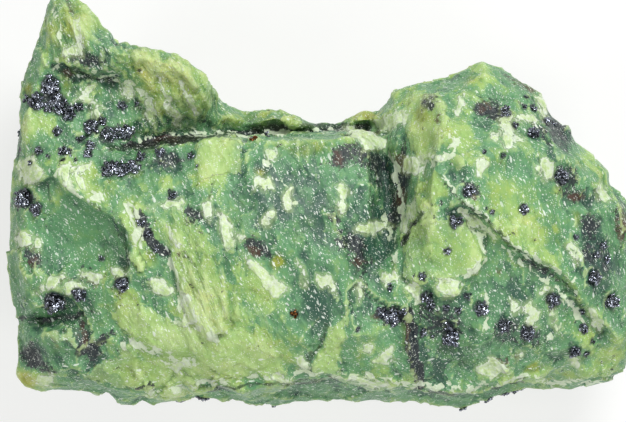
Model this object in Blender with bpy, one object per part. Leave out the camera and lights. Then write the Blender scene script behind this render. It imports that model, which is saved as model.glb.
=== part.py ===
"""Serpentine hand specimen: one broken stone lying on its back, with magnetite grains grown into it.

Blender works in metres. The places below are in millimetres, as a stone is measured by hand, and
point() turns them into metres. +X is the stone's length, +Y its width and +Z points up from the
flat break that it rests on.
"""

import math
import random

import bmesh
import bpy
from mathutils import Matrix, Vector, noise
from mathutils.bvhtree import BVHTree
from mathutils.geometry import delaunay_2d_cdt

MM = 0.001
COLLECTION = "serpentine"
SCARS = "flake_scars"
GRAIN_LUMPS = "grain_lumps"
STONE = "serpentine_stone"

# The rim, seen from above, with its height over the base. It runs counter-clockwise.
RIM_LEFT = (
    (-28.9, 24.1, 18.5), (-30.1, 21.3, 18.5), (-30.7, 18.2, 18.0), (-31.6, 15.3, 18.0),
    (-32.6, 13.4, 17.0), (-33.05, 10.2, 16.5), (-33.2, 7.5, 16.0), (-33.4, 3.2, 16.0),
    (-33.85, 0.0, 15.5), (-34.3, -5.0, 15.0), (-33.6, -9.5, 14.5), (-33.1, -13.5, 13.5),
    (-33.1, -17.0, 12.5), (-33.35, -18.8, 12.0), (-32.5, -20.1, 11.5),
)
RIM_FRONT = (
    (-30.2, -20.7, 11.0), (-27.3, -20.5, 11.0), (-23.4, -20.8, 10.0), (-22.2, -22.1, 9.0),
    (-20.4, -22.1, 9.0), (-19.6, -21.6, 9.0), (-18.3, -22.35, 8.5), (-16.0, -21.9, 8.5),
    (-14.2, -21.2, 8.5), (-11.5, -21.3, 8.0), (-8.2, -22.0, 8.0), (-5.0, -22.3, 7.5),
    (-1.0, -22.0, 7.5), (2.5, -21.7, 7.5), (7.5, -22.1, 7.5), (10.7, -21.75, 7.5),
    (13.0, -22.45, 7.5), (16.6, -22.55, 7.5), (19.6, -21.4, 8.0), (22.8, -20.5, 8.5),
    (25.2, -20.2, 9.0), (28.0, -20.55, 9.5), (30.6, -20.1, 10.0), (32.4, -19.6, 10.5),
)
RIM_RIGHT = (
    (34.2, -18.4, 11.0), (35.2, -15.5, 11.5), (35.5, -11.0, 12.0), (35.3, -6.0, 12.5),
    (35.1, -2.0, 13.0), (34.2, 0.6, 13.5), (32.9, 1.75, 13.5), (32.1, 2.3, 13.5),
    (32.1, 3.8, 13.5), (30.5, 5.5, 14.0), (28.5, 6.9, 14.0), (27.8, 8.4, 14.0),
    (25.7, 10.2, 14.5), (24.8, 12.0, 14.5), (22.8, 13.1, 15.0),
)
RIM_BACK = (
    (20.4, 14.8, 15.0), (18.1, 16.0, 15.5), (16.2, 15.0, 15.5), (14.2, 13.9, 15.0),
    (11.2, 13.6, 14.0), (9.5, 13.1, 13.5), (8.3, 12.5, 13.0), (7.8, 11.5, 12.0),
    (6.4, 10.2, 11.0), (5.0, 10.5, 10.0), (3.6, 9.6, 9.5), (2.8, 9.05, 9.0),
    (-0.4, 9.3, 8.5), (-2.5, 10.1, 8.5), (-5.1, 10.95, 8.5), (-7.5, 10.35, 8.5),
    (-9.4, 10.85, 9.0), (-10.9, 11.35, 10.5), (-11.4, 13.1, 16.0), (-12.8, 14.2, 19.0),
    (-13.6, 15.5, 20.0), (-15.4, 16.5, 20.5), (-18.9, 17.4, 21.0), (-22.1, 17.8, 20.5),
    (-22.6, 18.8, 20.0), (-23.5, 19.4, 20.0), (-24.1, 20.8, 19.5), (-26.3, 22.4, 19.0),
    (-27.2, 23.3, 18.8),
)
RIM = RIM_LEFT + RIM_FRONT + RIM_RIGHT + RIM_BACK

# Ridges, brows and hollows of the upper side. The facets of the break span between them.
FORM_LINES = {
    "left brow": (
        (-29.5, 19.4, 20.6), (-30.2, 15.6, 20.2), (-31.3, 12.5, 19.5), (-31.9, 9.0, 19.3),
        (-32.0, 5.0, 19.2), (-31.7, 2.9, 19.8), (-32.4, -1.0, 18.7), (-32.6, -5.0, 18.3),
        (-32.2, -9.2, 17.8), (-31.9, -11.6, 16.5),
    ),
    "wing brow": (
        (-28.3, 21.2, 21.2), (-25.4, 18.8, 22.4), (-22.0, 16.6, 23.0), (-18.0, 15.9, 23.0),
        (-15.0, 15.0, 22.3), (-13.3, 13.6, 21.0), (-12.3, 12.0, 18.2),
    ),
    "wing floor": (
        (-25.0, 11.0, 18.9), (-21.0, 10.5, 18.4), (-17.0, 9.9, 17.4), (-13.5, 9.5, 16.2),
        (-11.7, 9.4, 13.5),
    ),
    "crevice": (
        (-20.3, 6.6, 18.4), (-18.0, 7.0, 15.8), (-15.0, 7.8, 14.5), (-12.5, 8.05, 12.5),
        (-10.0, 8.0, 10.0), (-8.0, 7.8, 9.5), (-5.0, 8.0, 9.5), (-1.0, 7.9, 9.2),
        (1.2, 8.2, 9.0), (3.5, 8.45, 9.6), (5.2, 8.5, 10.5), (7.0, 8.5, 13.5),
    ),
    "block edge": (
        (-21.5, 5.4, 20.3), (-18.0, 6.1, 20.8), (-15.0, 6.9, 21.2), (-12.5, 7.2, 21.6),
        (-10.0, 7.15, 22.0), (-6.5, 7.05, 22.0), (-3.0, 6.95, 21.6), (0.5, 7.2, 21.0),
        (3.5, 7.5, 20.0), (5.2, 7.3, 18.8),
    ),
    "back ridge": (
        (-10.2, 9.8, 12.8), (-8.9, 9.4, 11.6), (-7.6, 9.1, 10.6), (-5.0, 9.7, 13.0),
        (-2.5, 9.1, 12.4), (-0.4, 8.6, 10.6),
    ),
    "back knob": ((3.4, 9.0, 11.6), (4.6, 9.7, 12.8), (5.7, 9.5, 12.6)),
    "block face": (
        (-19.5, 0.8, 22.4), (-14.5, -1.5, 23.2), (-8.0, -3.0, 24.2), (-2.0, -4.0, 24.2),
        (2.0, -6.0, 23.8),
    ),
    "block foot": (
        (-20.0, -12.5, 20.6), (-15.0, -15.8, 20.6), (-8.0, -15.0, 21.9), (-1.0, -14.5, 22.4),
        (6.0, -14.0, 22.6),
    ),
    "valley left": (
        (5.6, 5.9, 19.8), (5.6, 4.0, 20.4), (5.7, 2.0, 20.9), (5.9, -0.5, 21.2),
        (5.5, -3.0, 21.8), (4.8, -5.0, 22.3), (4.2, -7.2, 22.9),
    ),
    "valley floor": (
        (7.1, 6.6, 16.0), (7.2, 4.8, 15.6), (7.3, 3.0, 15.8), (7.6, 0.5, 16.6),
        (7.9, -2.0, 18.0), (7.5, -4.5, 19.6), (6.5, -6.5, 21.3),
    ),
    "hump foot": (
        (8.6, 9.4, 16.6), (9.2, 8.2, 18.6), (9.6, 6.2, 19.4), (10.2, 4.6, 20.4),
        (10.2, 2.0, 20.8), (10.0, 0.0, 20.8), (10.2, -2.2, 21.4), (9.4, -4.8, 22.0),
    ),
    "hump spine": (
        (13.3, 11.0, 21.8), (14.0, 9.3, 23.2), (13.5, 7.6, 24.3), (13.2, 5.4, 25.6),
        (12.4, 3.4, 26.2), (12.2, 1.2, 26.6), (12.8, -1.0, 26.4), (12.0, -4.5, 25.2),
    ),
    "hump crown": (
        (13.2, 5.4, 25.6), (16.0, 4.6, 27.2), (18.6, 5.0, 26.4), (21.4, 6.0, 24.8),
        (24.4, 6.2, 22.6), (27.8, 4.8, 20.4), (30.6, 2.2, 19.0),
    ),
    "hump shoulder": (
        (6.9, 9.7, 14.0), (8.6, 11.2, 16.0), (10.6, 12.2, 17.3), (12.4, 12.5, 17.8),
        (14.8, 12.8, 18.6), (16.6, 13.7, 18.8), (18.3, 14.5, 18.8), (20.4, 13.2, 19.0),
        (22.6, 11.7, 18.6), (24.0, 10.8, 18.2), (25.0, 9.4, 18.0), (26.8, 7.8, 17.8),
        (27.8, 6.0, 17.8), (30.2, 4.3, 17.0), (31.2, 3.2, 16.8), (31.6, 1.4, 17.0),
        (33.4, -0.4, 16.4), (34.1, -3.0, 16.0), (34.3, -8.0, 15.6), (34.4, -12.0, 15.0),
        (33.8, -16.2, 13.8),
    ),
    "right flank": ((25.0, 0.5, 22.8), (29.0, -3.0, 20.8), (31.5, -8.0, 19.4)),
    "right foot": (
        (13.4, -11.8, 23.4), (18.2, -13.6, 21.9), (24.0, -13.0, 20.4), (29.2, -15.4, 17.8),
    ),
    "groove": ((-32.3, -13.1, 14.8), (-30.0, -12.8, 15.3), (-28.4, -12.4, 15.9), (-26.2, -12.0, 17.8)),
    "knob crest": (
        (-31.9, -14.9, 16.4), (-30.0, -14.2, 18.2), (-27.6, -14.4, 18.6), (-26.0, -15.6, 18.2),
        (-26.8, -17.6, 17.0), (-30.2, -17.8, 16.2),
    ),
    "front brow": (
        (-32.0, -19.0, 13.9), (-29.0, -19.6, 14.4), (-25.6, -19.4, 15.2), (-22.4, -20.4, 15.0),
        (-20.3, -20.6, 15.2), (-18.2, -20.9, 15.4), (-15.6, -20.7, 15.8),
    ),
    "bowl sill": (
        (-31.0, -8.6, 18.4), (-28.5, -9.3, 19.6), (-25.5, -9.0, 20.2), (-22.8, -8.6, 21.0),
        (-21.4, -8.2, 21.7),
    ),
    "front corner": ((29.6, -18.9, 14.2), (32.2, -17.9, 13.4)),
}

# Broken steps of the upper side: the upper edge, how far it drops and how wide the step is. The
# lower ground is on the right of someone walking along the edge.
STEPS = {
    "wing ledge": (
        ((-28.4, 15.6, 21.2), (-26.7, 15.2, 21.6), (-24.5, 14.7, 21.3), (-22.4, 14.4, 20.6)),
        1.8, 0.6,
    ),
    "diagonal ledge": (
        (
            (15.2, 0.3, 27.2), (16.8, 0.0, 27.0), (17.8, -0.7, 26.6), (19.8, -3.1, 25.7),
            (22.3, -5.1, 24.7), (25.0, -6.3, 23.6), (27.0, -7.6, 22.6), (28.8, -9.8, 21.4),
            (31.0, -12.3, 19.6), (33.0, -14.6, 17.2),
        ),
        1.7, 1.0,
    ),
    "lime chip": (
        (
            (10.6, -8.0, 24.0), (12.4, -8.4, 24.4), (13.2, -9.9, 24.2), (15.2, -9.5, 24.2),
            (15.6, -8.4, 24.4), (17.5, -7.2, 24.6), (17.9, -5.6, 24.8), (17.0, -3.9, 25.0),
            (15.4, -2.2, 25.7),
        ),
        0.9, 0.35,
    ),
    "seam": (((10.5, -17.8, 20.6), (10.0, -15.0, 22.2), (9.9, -12.2, 23.3)), 0.8, 0.5),
    "streaked flake": (
        (
            (-16.2, -5.6, 23.4), (-15.4, -7.6, 23.2), (-14.3, -10.2, 22.9), (-13.4, -12.4, 22.6),
            (-11.6, -14.4, 22.5), (-10.3, -13.7, 22.9), (-9.9, -10.5, 23.8), (-10.6, -6.0, 24.6),
        ),
        0.9, 0.35,
    ),
    "curved step": (
        ((-19.2, -14.6, 19.9), (-18.0, -15.3, 19.9), (-16.6, -16.1, 19.9), (-14.0, -16.3, 20.4)),
        0.7, 0.35,
    ),
    "bowl rim": (
        (
            (-30.7, 2.7, 20.6), (-29.0, 3.7, 21.4), (-27.4, 1.8, 21.9), (-25.0, 0.0, 22.3),
            (-22.4, -1.2, 22.6), (-20.8, -2.6, 22.8), (-20.2, -4.6, 22.8), (-20.7, -6.6, 22.3),
        ),
        1.3, 0.5,
    ),
    "front lip": (
        (
            (-13.2, -20.2, 17.0), (-11.0, -19.9, 18.0), (-9.0, -20.4, 18.4), (-7.7, -20.9, 18.4),
            (-6.2, -20.3, 18.6), (-2.0, -19.3, 19.3), (1.5, -18.8, 19.6), (5.0, -19.5, 19.1),
            (8.0, -19.9, 18.8), (11.0, -19.8, 18.5), (14.5, -20.8, 17.8), (17.5, -20.3, 17.4),
            (19.8, -19.6, 17.0), (22.0, -19.1, 16.8), (24.2, -19.2, 16.8),
        ),
        7.0, 0.5,
    ),
}
BOWL_FLOOR = (
    (-28.6, -0.6, 18.4), (-25.4, -2.8, 17.6), (-23.4, -5.4, 17.8), (-28.4, -4.8, 17.2), (-29.6, -7.0, 17.6),
)

# How the flanks draw in below the rim: share of the rim's reach from the spine, share of its height.
# The spine is a line along X, from SPINE_HALF to the left of the origin to as far on its right.
SPINE_HALF = 20.0
SPINE_Y = -4.0
FLANK_RINGS = ((0.985, 0.86), (0.975, 0.68), (0.95, 0.5), (0.9, 0.32), (0.82, 0.16), (0.7, 0.05), (0.55, 0.0))
FLANK_SWELL = 1.6
FLANK_SWELL_SPAN = 8.0
FLANK_SWELL_FADE = 0.1

# Flat breaks across the flanks and the underside: a point on each and the way it faces.
FLAT_BREAKS = (
    ((-12.0, -17.0, 0.0), (-0.15, -0.66, -0.74)),
    ((14.0, -16.0, 0.0), (0.2, -0.6, -0.77)),
    ((-27.5, -6.0, 0.0), (-0.74, -0.1, -0.66)),
    ((-19.0, 11.5, 0.0), (-0.2, 0.68, -0.7)),
    ((4.0, 6.5, 0.0), (0.05, 0.72, -0.69)),
    ((22.0, 5.5, 0.0), (0.5, 0.55, -0.67)),
    ((27.0, -9.0, 0.0), (0.76, -0.12, -0.64)),
)
# Shell-shaped flake scars: a point on the flank, the way the scar faces, its ball's radius and its depth.
FLAKE_SCARS = (
    ((-33.4, -3.0, 8.0), (-1.0, 0.0, -0.15), 14.0, 1.6),
    ((-31.5, 14.0, 9.0), (-0.95, 0.3, -0.1), 13.0, 1.6),
    ((-19.5, 17.2, 9.0), (0.1, 1.0, -0.1), 12.0, 1.4),
    ((-4.0, 9.4, 3.5), (0.0, 0.9, -0.45), 18.0, 1.6),
    ((14.0, 13.6, 8.0), (-0.2, 1.0, -0.2), 14.0, 1.7),
    ((26.5, 8.0, 7.0), (0.6, 0.8, -0.15), 15.0, 1.8),
    ((34.4, -6.0, 6.5), (1.0, 0.1, -0.2), 17.0, 1.9),
    ((32.0, -17.5, 5.0), (0.7, -0.7, -0.3), 12.0, 1.3),
    ((6.0, -21.0, 3.4), (0.0, -1.0, -0.5), 20.0, 1.4),
    ((-18.0, -21.0, 4.0), (-0.1, -1.0, -0.4), 15.0, 1.5),
    ((-21.0, 3.0, 0.6), (-0.25, 0.2, -1.0), 30.0, 1.5),
    ((20.0, 0.0, 0.5), (0.3, 0.25, -1.0), 34.0, 1.6),
    ((2.0, -15.0, 0.8), (0.0, -0.45, -1.0), 26.0, 1.3),
)

# Smaller flakes between them, below every few points of the rim: reach, rise, radius and depth in turn.
SMALL_FLAKES = (
    (0.955, 0.55, 8.0, 0.9), (0.92, 0.34, 11.0, 1.1), (0.965, 0.66, 6.0, 0.7), (0.87, 0.24, 9.0, 1.0),
)
SMALL_FLAKE_EVERY = 3
SMALL_FLAKE_DIP = 0.25

# Magnetite grains that stand out of the upper side: place and radius.
GRAINS = (
    (-29.4, 13.2, 0.9), (-32.0, 11.5, 0.5), (-30.8, 11.5, 0.8), (-31.0, 10.8, 0.5), (-29.7, 10.7, 0.5),
    (-28.6, 11.2, 1.0), (-27.4, 10.1, 0.8), (-26.3, 10.8, 0.5), (-28.6, 8.1, 0.55), (-24.9, 8.6, 0.8),
    (-23.7, 9.2, 0.5), (-23.0, 7.6, 0.9), (-22.2, 7.9, 0.7), (-21.0, 8.0, 0.8), (-21.5, 10.9, 0.5),
    (-25.0, 6.5, 0.5), (-28.0, 5.9, 0.5), (-25.2, 5.7, 0.5), (-22.8, 4.0, 0.9), (-21.6, 4.0, 0.8),
    (-20.2, 4.2, 0.7), (-19.4, 5.3, 0.5), (-17.3, 5.8, 0.5), (-32.5, 0.8, 1.0), (-31.0, -0.4, 0.7),
    (-16.0, 1.1, 0.5), (-29.0, -10.8, 1.0), (-26.2, -9.8, 0.7), (-21.5, -8.7, 0.7), (7.0, -11.8, 0.6),
    (8.2, -12.3, 0.8), (20.6, 10.2, 0.6), (23.6, 8.0, 0.6), (26.7, 3.2, 0.7), (15.0, -1.8, 0.65),
    (11.4, -7.8, 0.5), (22.5, -0.5, 0.55), (16.3, 1.5, 0.6), (30.3, -8.0, 0.7), (32.4, -10.6, 0.75),
    (11.8, -10.0, 0.6), (12.3, -10.8, 0.5), (17.8, -11.3, 0.75), (14.6, -14.5, 0.8), (14.3, -13.3, 0.5),
    (20.4, -13.2, 0.7), (23.0, -14.1, 0.75), (25.8, -10.4, 0.75), (29.3, -13.6, 0.5), (28.3, -16.2, 0.6),
)
GRAIN_SUNK = 0.45
GRAIN_SEED = 41

# The small facets: their width, and as shares of it how far they stray and keep clear of the lines.
FACET = 1.75
FACET_JITTER = 0.28
CLEAR_OF_LINES = 0.62
FACET_SEED = 7
SMOOTHING_PASSES = 4
SAME_PLACE = 1e-7

# Long edges of the flanks are split, and then every point strays by smooth noise.
LONGEST_EDGE = 6.0
SPLIT_PASSES = 1
ROUGH_ACROSS = 0.22
ROUGH_UP = 0.42
ROUGH_SPAN = 2.7
BASE_FADE = 1.2

# The noise that moves points takes its seed from the clock until one is set.
NOISE_SEED = 1

STONE_GREEN = (0.16, 0.33, 0.12, 1.0)
STONE_ROUGHNESS = 0.38


def point(place):
    return Vector(place) * MM


def spine_point(x):
    """The point of the spine that a place of the rim draws in towards."""
    return Vector((max(-SPINE_HALF, min(SPINE_HALF, x)), SPINE_Y, 0.0))


def clear_scene():
    for obj in list(bpy.data.objects):
        bpy.data.objects.remove(obj, do_unlink=True)


def new_collection(name, hidden=False):
    collection = bpy.data.collections.new(name)
    bpy.context.scene.collection.children.link(collection)
    collection.hide_render = hidden
    return collection


def resampled(line, spacing, closed=False):
    """The line with extra points, so that no stretch of it is longer than the spacing."""
    ends = line[1:] + line[:1] if closed else line[1:]
    points = []
    for start, end in zip(line, ends):
        cuts = max(1, round((end - start).length / spacing))
        points += [start.lerp(end, cut / cuts) for cut in range(cuts)]
    return points if closed else points + [line[-1]]


def step_foot(edge, drop, width):
    """The lower edge of a step: the upper edge moved sideways and down."""
    foot = []
    for index, place in enumerate(edge):
        along = edge[min(index + 1, len(edge) - 1)] - edge[max(index - 1, 0)]
        side = Vector((along.y, -along.x, 0)).normalized()
        foot.append(place + side * width * MM - Vector((0, 0, drop * MM)))
    return foot


def relief_lines():
    """Every line of the upper side as a list of points, the closed rim first."""
    lines = [[point(place) for place in RIM]]
    lines += [[point(place) for place in line] for line in FORM_LINES.values()]
    for edge, drop, width in STEPS.values():
        edge = [point(place) for place in edge]
        lines += [edge, step_foot(edge, drop, width)]
    return lines


def from_lowest(corners):
    """The same face, starting at its lowest corner."""
    start = corners.index(min(corners))
    return corners[start:] + corners[:start]


def triangulated(lines, loose):
    """An open mesh of triangles inside the rim, through the lines and the loose points."""
    points, edges = [], []
    for number, line in enumerate(lines):
        first = len(points)
        points += line
        edges += [(first + i, first + i + 1) for i in range(len(line) - 1)]
        if number == 0:
            edges.append((first + len(line) - 1, first))
    points += loose
    inside_the_rim = 1
    flat = [place.to_2d() for place in points]
    places, _, faces, origins, _, _ = delaunay_2d_cdt(flat, edges, [], inside_the_rim, SAME_PLACE)
    bm = bmesh.new()
    for place, sources in zip(places, origins):
        if not sources:
            raise ValueError(f"two lines cross at {place / MM}")
        bm.verts.new(points[sources[0]])
    bm.verts.ensure_lookup_table()
    # The triangles come in an order of their own each time, and smoothing depends on it.
    for corners in sorted(from_lowest(face) for face in faces):
        bm.faces.new([bm.verts[i] for i in corners])
    return bm


def facet_corners(ground, taken):
    """Points in staggered rows on the ground, clear of the points that are taken."""
    stray = random.Random(FACET_SEED)
    low = [min(place[axis] for place in taken) for axis in (0, 1)]
    high = [max(place[axis] for place in taken) for axis in (0, 1)]
    width = FACET * MM
    row_gap = width * math.sqrt(0.75)
    corners = []
    for row in range(int((high[1] - low[1]) / row_gap) + 1):
        for column in range(int((high[0] - low[0]) / width) + 1):
            x = low[0] + (column + 0.5 * (row % 2) + stray.uniform(-FACET_JITTER, FACET_JITTER)) * width
            y = low[1] + (row + stray.uniform(-FACET_JITTER, FACET_JITTER)) * row_gap
            landed = ground.ray_cast(Vector((x, y, 1.0)), Vector((0, 0, -1)))[0]
            if landed is None:
                continue
            nearest = min((landed.to_2d() - place.to_2d()).length for place in taken)
            if nearest > CLEAR_OF_LINES * width:
                corners.append(landed)
    return corners


def upper_side():
    """The broken upper side: facets between the form lines, with evenly spread small facets on them."""
    lines = relief_lines()
    coarse = triangulated(lines, [point(place) for place in BOWL_FLOOR])
    ground = BVHTree.FromBMesh(coarse)
    coarse.free()
    lines = [resampled(line, FACET * MM, closed=number == 0) for number, line in enumerate(lines)]
    corners = facet_corners(ground, [place for line in lines for place in line])
    bm = triangulated(lines, corners)
    free = {tuple(place) for place in corners}
    inner = [vert for vert in bm.verts if tuple(vert.co) in free]
    for _ in range(SMOOTHING_PASSES):
        bmesh.ops.smooth_vert(bm, verts=inner, factor=0.5, use_axis_z=True)
    return bm


def border(bm):
    """The points of the open border, one after another around it."""
    edge = next(edge for edge in bm.edges if edge.is_boundary)
    first, vert = edge.verts
    around = [first]
    while vert != first:
        around.append(vert)
        edge = next(other for other in vert.link_edges if other.is_boundary and other != edge)
        vert = edge.other_vert(vert)
    return around


def drawn_in(start, reach, rise):
    """The place of the flank below a point of the rim."""
    centre = spine_point(start.x / MM) * MM
    place = centre + (start - centre) * reach
    place.z = start.z * rise
    swell = noise.noise_vector(place / (FLANK_SWELL_SPAN * MM)) * FLANK_SWELL * MM
    return place + swell * (1 - rise) * min(rise / FLANK_SWELL_FADE, 1.0)


def add_flanks(bm):
    """The rim drawn down and in, ring by ring, and closed with the flat base."""
    ring = border(bm)
    starts = [vert.co.copy() for vert in ring]
    for reach, rise in FLANK_RINGS:
        below = [bm.verts.new(drawn_in(start, reach, rise)) for start in starts]
        for index, vert in enumerate(ring):
            bm.faces.new((vert, ring[index - 1], below[index - 1], below[index]))
        ring = below
    bmesh.ops.triangulate(bm, faces=[bm.faces.new(ring)])


def roughen(bm):
    """Moves every point a little by one smooth field, which fades out at the flat base."""
    for vert in bm.verts:
        push = noise.noise_vector(vert.co / (ROUGH_SPAN * MM)) * MM
        fade = min(vert.co.z / (BASE_FADE * MM), 1.0)
        vert.co += Vector((push.x * ROUGH_ACROSS, push.y * ROUGH_ACROSS, push.z * ROUGH_UP)) * fade


def split_long_edges(bm):
    """Splits the long edges in a few passes, and keeps the mesh in triangles."""
    bmesh.ops.triangulate(bm, faces=bm.faces)
    for _ in range(SPLIT_PASSES):
        edges = [edge for edge in bm.edges if edge.calc_length() > LONGEST_EDGE * MM]
        bmesh.ops.subdivide_edges(bm, edges=edges, cuts=1)
        bmesh.ops.triangulate(bm, faces=[face for face in bm.faces if len(face.verts) > 3])


def break_flat(bm):
    """Cuts each flat break across the stone and closes the cut."""
    for place, facing in FLAT_BREAKS:
        everything = bm.verts[:] + bm.edges[:] + bm.faces[:]
        cut = bmesh.ops.bisect_plane(
            bm, geom=everything, plane_co=point(place), plane_no=Vector(facing), clear_outer=True
        )["geom_cut"]
        edges = [item for item in cut if isinstance(item, bmesh.types.BMEdge)]
        bmesh.ops.triangle_fill(bm, edges=edges, use_beauty=True)


def new_object(name, bm, collection):
    mesh = bpy.data.meshes.new(name)
    bm.to_mesh(mesh)
    bm.free()
    obj = bpy.data.objects.new(name, mesh)
    collection.objects.link(obj)
    return obj


def cutter(name, bm, collection):
    obj = new_object(name, bm, collection)
    obj.hide_render = True
    obj.display_type = "WIRE"
    return obj


def small_flakes():
    """The smaller flakes, each below a point of the rim and facing away from the middle."""
    flakes = []
    for number, place in enumerate(RIM[::SMALL_FLAKE_EVERY]):
        reach, rise, radius, depth = SMALL_FLAKES[number % len(SMALL_FLAKES)]
        centre = spine_point(place[0])
        out = Vector((*place[:2], 0.0)) - centre
        x, y, _ = centre + out * reach
        facing = out.normalized() - Vector((0.0, 0.0, SMALL_FLAKE_DIP))
        flakes.append(((x, y, place[2] * rise), facing, radius, depth))
    return flakes


def scar_ball(number, scar, collection):
    """The ball that takes one shell-shaped flake off a flank."""
    place, facing, radius, depth = scar
    bm = bmesh.new()
    middle = point(place) + Vector(facing).normalized() * (radius - depth) * MM
    bmesh.ops.create_icosphere(bm, subdivisions=4, radius=radius * MM, matrix=Matrix.Translation(middle))
    return cutter(f"scar_{number}", bm, collection)


def grain_lumps(stone_mesh, collection):
    """Octahedral magnetite grains, each sunk in the stone below it."""
    ground = bmesh.new()
    ground.from_mesh(stone_mesh)
    tree = BVHTree.FromBMesh(ground)
    ground.free()
    turns = random.Random(GRAIN_SEED)
    bm = bmesh.new()
    for x, y, radius in GRAINS:
        landed, facing, _, _ = tree.ray_cast(point((x, y, 100.0)), Vector((0, 0, -1)))
        middle = landed + facing * radius * (1 - 2 * GRAIN_SUNK) * MM
        turn = Matrix.Rotation(turns.uniform(0, math.tau), 4, turns.choice("XYZ"))
        turn = turn @ Matrix.Rotation(turns.uniform(0, math.tau), 4, "Z")
        place = Matrix.Translation(middle) @ turn
        bmesh.ops.create_uvsphere(bm, u_segments=4, v_segments=2, radius=radius * MM, matrix=place)
    return cutter("magnetite_grains", bm, collection)


def combine(stone, collection, operation):
    """Takes the shapes of the collection off the stone, or joins them to it."""
    modifier = stone.modifiers.new(collection.name, "BOOLEAN")
    modifier.operation = operation
    modifier.solver = "MANIFOLD"
    modifier.operand_type = "COLLECTION"
    modifier.collection = collection


def edit(mesh, change):
    """Runs one bmesh change on the mesh."""
    bm = bmesh.new()
    bm.from_mesh(mesh)
    change(bm)
    bm.to_mesh(mesh)
    bm.free()


def apply_modifiers(obj):
    graph = bpy.context.evaluated_depsgraph_get()
    mesh = bpy.data.meshes.new_from_object(obj.evaluated_get(graph))
    obj.modifiers.clear()
    obj.data = mesh


def stone_material():
    material = bpy.data.materials.new("serpentine")
    material.use_nodes = True
    shader = material.node_tree.nodes["Principled BSDF"]
    shader.inputs["Base Color"].default_value = STONE_GREEN
    shader.inputs["Roughness"].default_value = STONE_ROUGHNESS
    shader.inputs["Metallic"].default_value = 0.0
    return material


def centre_on_base(mesh):
    """Moves the mesh so that its box stands on the origin."""
    spans = [[vert.co[axis] for vert in mesh.vertices] for axis in range(3)]
    middle = [(min(span) + max(span)) / 2 for span in spans]
    middle[2] = min(spans[2])
    mesh.transform(Matrix.Translation(-Vector(middle)))
    print("middle of the stone in millimetres:", [round(value / MM, 3) for value in middle])


def main():
    noise.seed_set(NOISE_SEED)
    clear_scene()
    parts = new_collection(COLLECTION)
    scars = new_collection(SCARS, hidden=True)
    grains = new_collection(GRAIN_LUMPS, hidden=True)

    bm = upper_side()
    add_flanks(bm)
    bmesh.ops.recalc_face_normals(bm, faces=bm.faces)
    break_flat(bm)
    stone = new_object(STONE, bm, parts)
    for number, scar in enumerate([*FLAKE_SCARS, *small_flakes()], 1):
        scar_ball(number, scar, scars)
    combine(stone, scars, "DIFFERENCE")
    apply_modifiers(stone)
    edit(stone.data, split_long_edges)
    edit(stone.data, roughen)

    grain_lumps(stone.data, grains)
    combine(stone, grains, "UNION")
    apply_modifiers(stone)
    centre_on_base(stone.data)
    stone.data.materials.clear()
    stone.data.materials.append(stone_material())


main()
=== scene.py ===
"""Dresses the serpentine stone: its broken waxy surface, its magnetite grains and a plain pale stage.

Places on the upper side are in millimetres from the point that the stone was drawn about, seen from
above: X to the right, Y to the back. MIDDLE moves them into the frame of the packed solid.
"""

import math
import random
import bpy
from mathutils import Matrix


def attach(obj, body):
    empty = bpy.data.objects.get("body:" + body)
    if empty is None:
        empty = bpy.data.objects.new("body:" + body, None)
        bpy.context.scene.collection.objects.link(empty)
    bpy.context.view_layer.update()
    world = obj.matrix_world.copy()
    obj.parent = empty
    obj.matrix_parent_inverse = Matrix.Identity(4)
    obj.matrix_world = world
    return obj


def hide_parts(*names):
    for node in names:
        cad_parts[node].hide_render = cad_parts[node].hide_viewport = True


bl_info = {
    "name": "Serpentine stone",
    "version": (1, 0, 0),
    "blender": (4, 5, 0),
    "location": "View3D > Sidebar > Stone",
    "description": "Makes a broken piece of serpentine with magnetite grains",
    "category": "Object",
}

import bmesh
import bpy
import numpy as np
from bpy.props import FloatProperty, FloatVectorProperty, IntProperty, PointerProperty
from mathutils import Matrix, Vector, noise
from mathutils.bvhtree import BVHTree

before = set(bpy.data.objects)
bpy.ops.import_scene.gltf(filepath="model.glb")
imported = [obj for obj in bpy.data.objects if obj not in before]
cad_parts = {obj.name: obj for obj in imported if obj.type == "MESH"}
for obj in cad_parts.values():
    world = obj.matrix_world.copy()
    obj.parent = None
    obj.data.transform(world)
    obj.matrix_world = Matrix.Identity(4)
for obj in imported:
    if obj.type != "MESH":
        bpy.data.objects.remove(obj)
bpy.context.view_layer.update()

MM = 0.001
NODE = "serpentine_stone"
MIDDLE = (0.604, 0.775)

# Two points of the packed mesh that are this close, in metres, are one.
MERGE = 1e-6
# Rays that look for the surface start this high, in mm, and go down.
RAY_HEIGHT = 60.0
DOWN = Vector((0, 0, -1))

# The camera: width of the image in pixels, mm of the stone in each, the place it looks at, and the
# height in metres at which that scale is true.
IMAGE_WIDTH = 626
MM_PER_PIXEL = 0.11
VIEW_CENTRE = (-0.55, -0.66)
SCALE_HEIGHT = 0.018
# Area lights: name, place and width in metres. All of them point at AIM.
LIGHTS = (
    ("key", (0.18, 0.34, 0.46), 0.24),
    ("left", (-0.42, -0.10, 0.38), 0.24),
    ("right", (0.28, -0.42, 0.40), 0.26),
)
AIM = Vector((0.0, 0.0, 0.015))
# Half the width of the floor, in metres.
FLOOR_HALF = 2.0


# ---------------------------------------------------------------- where the stone's features lie

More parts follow.
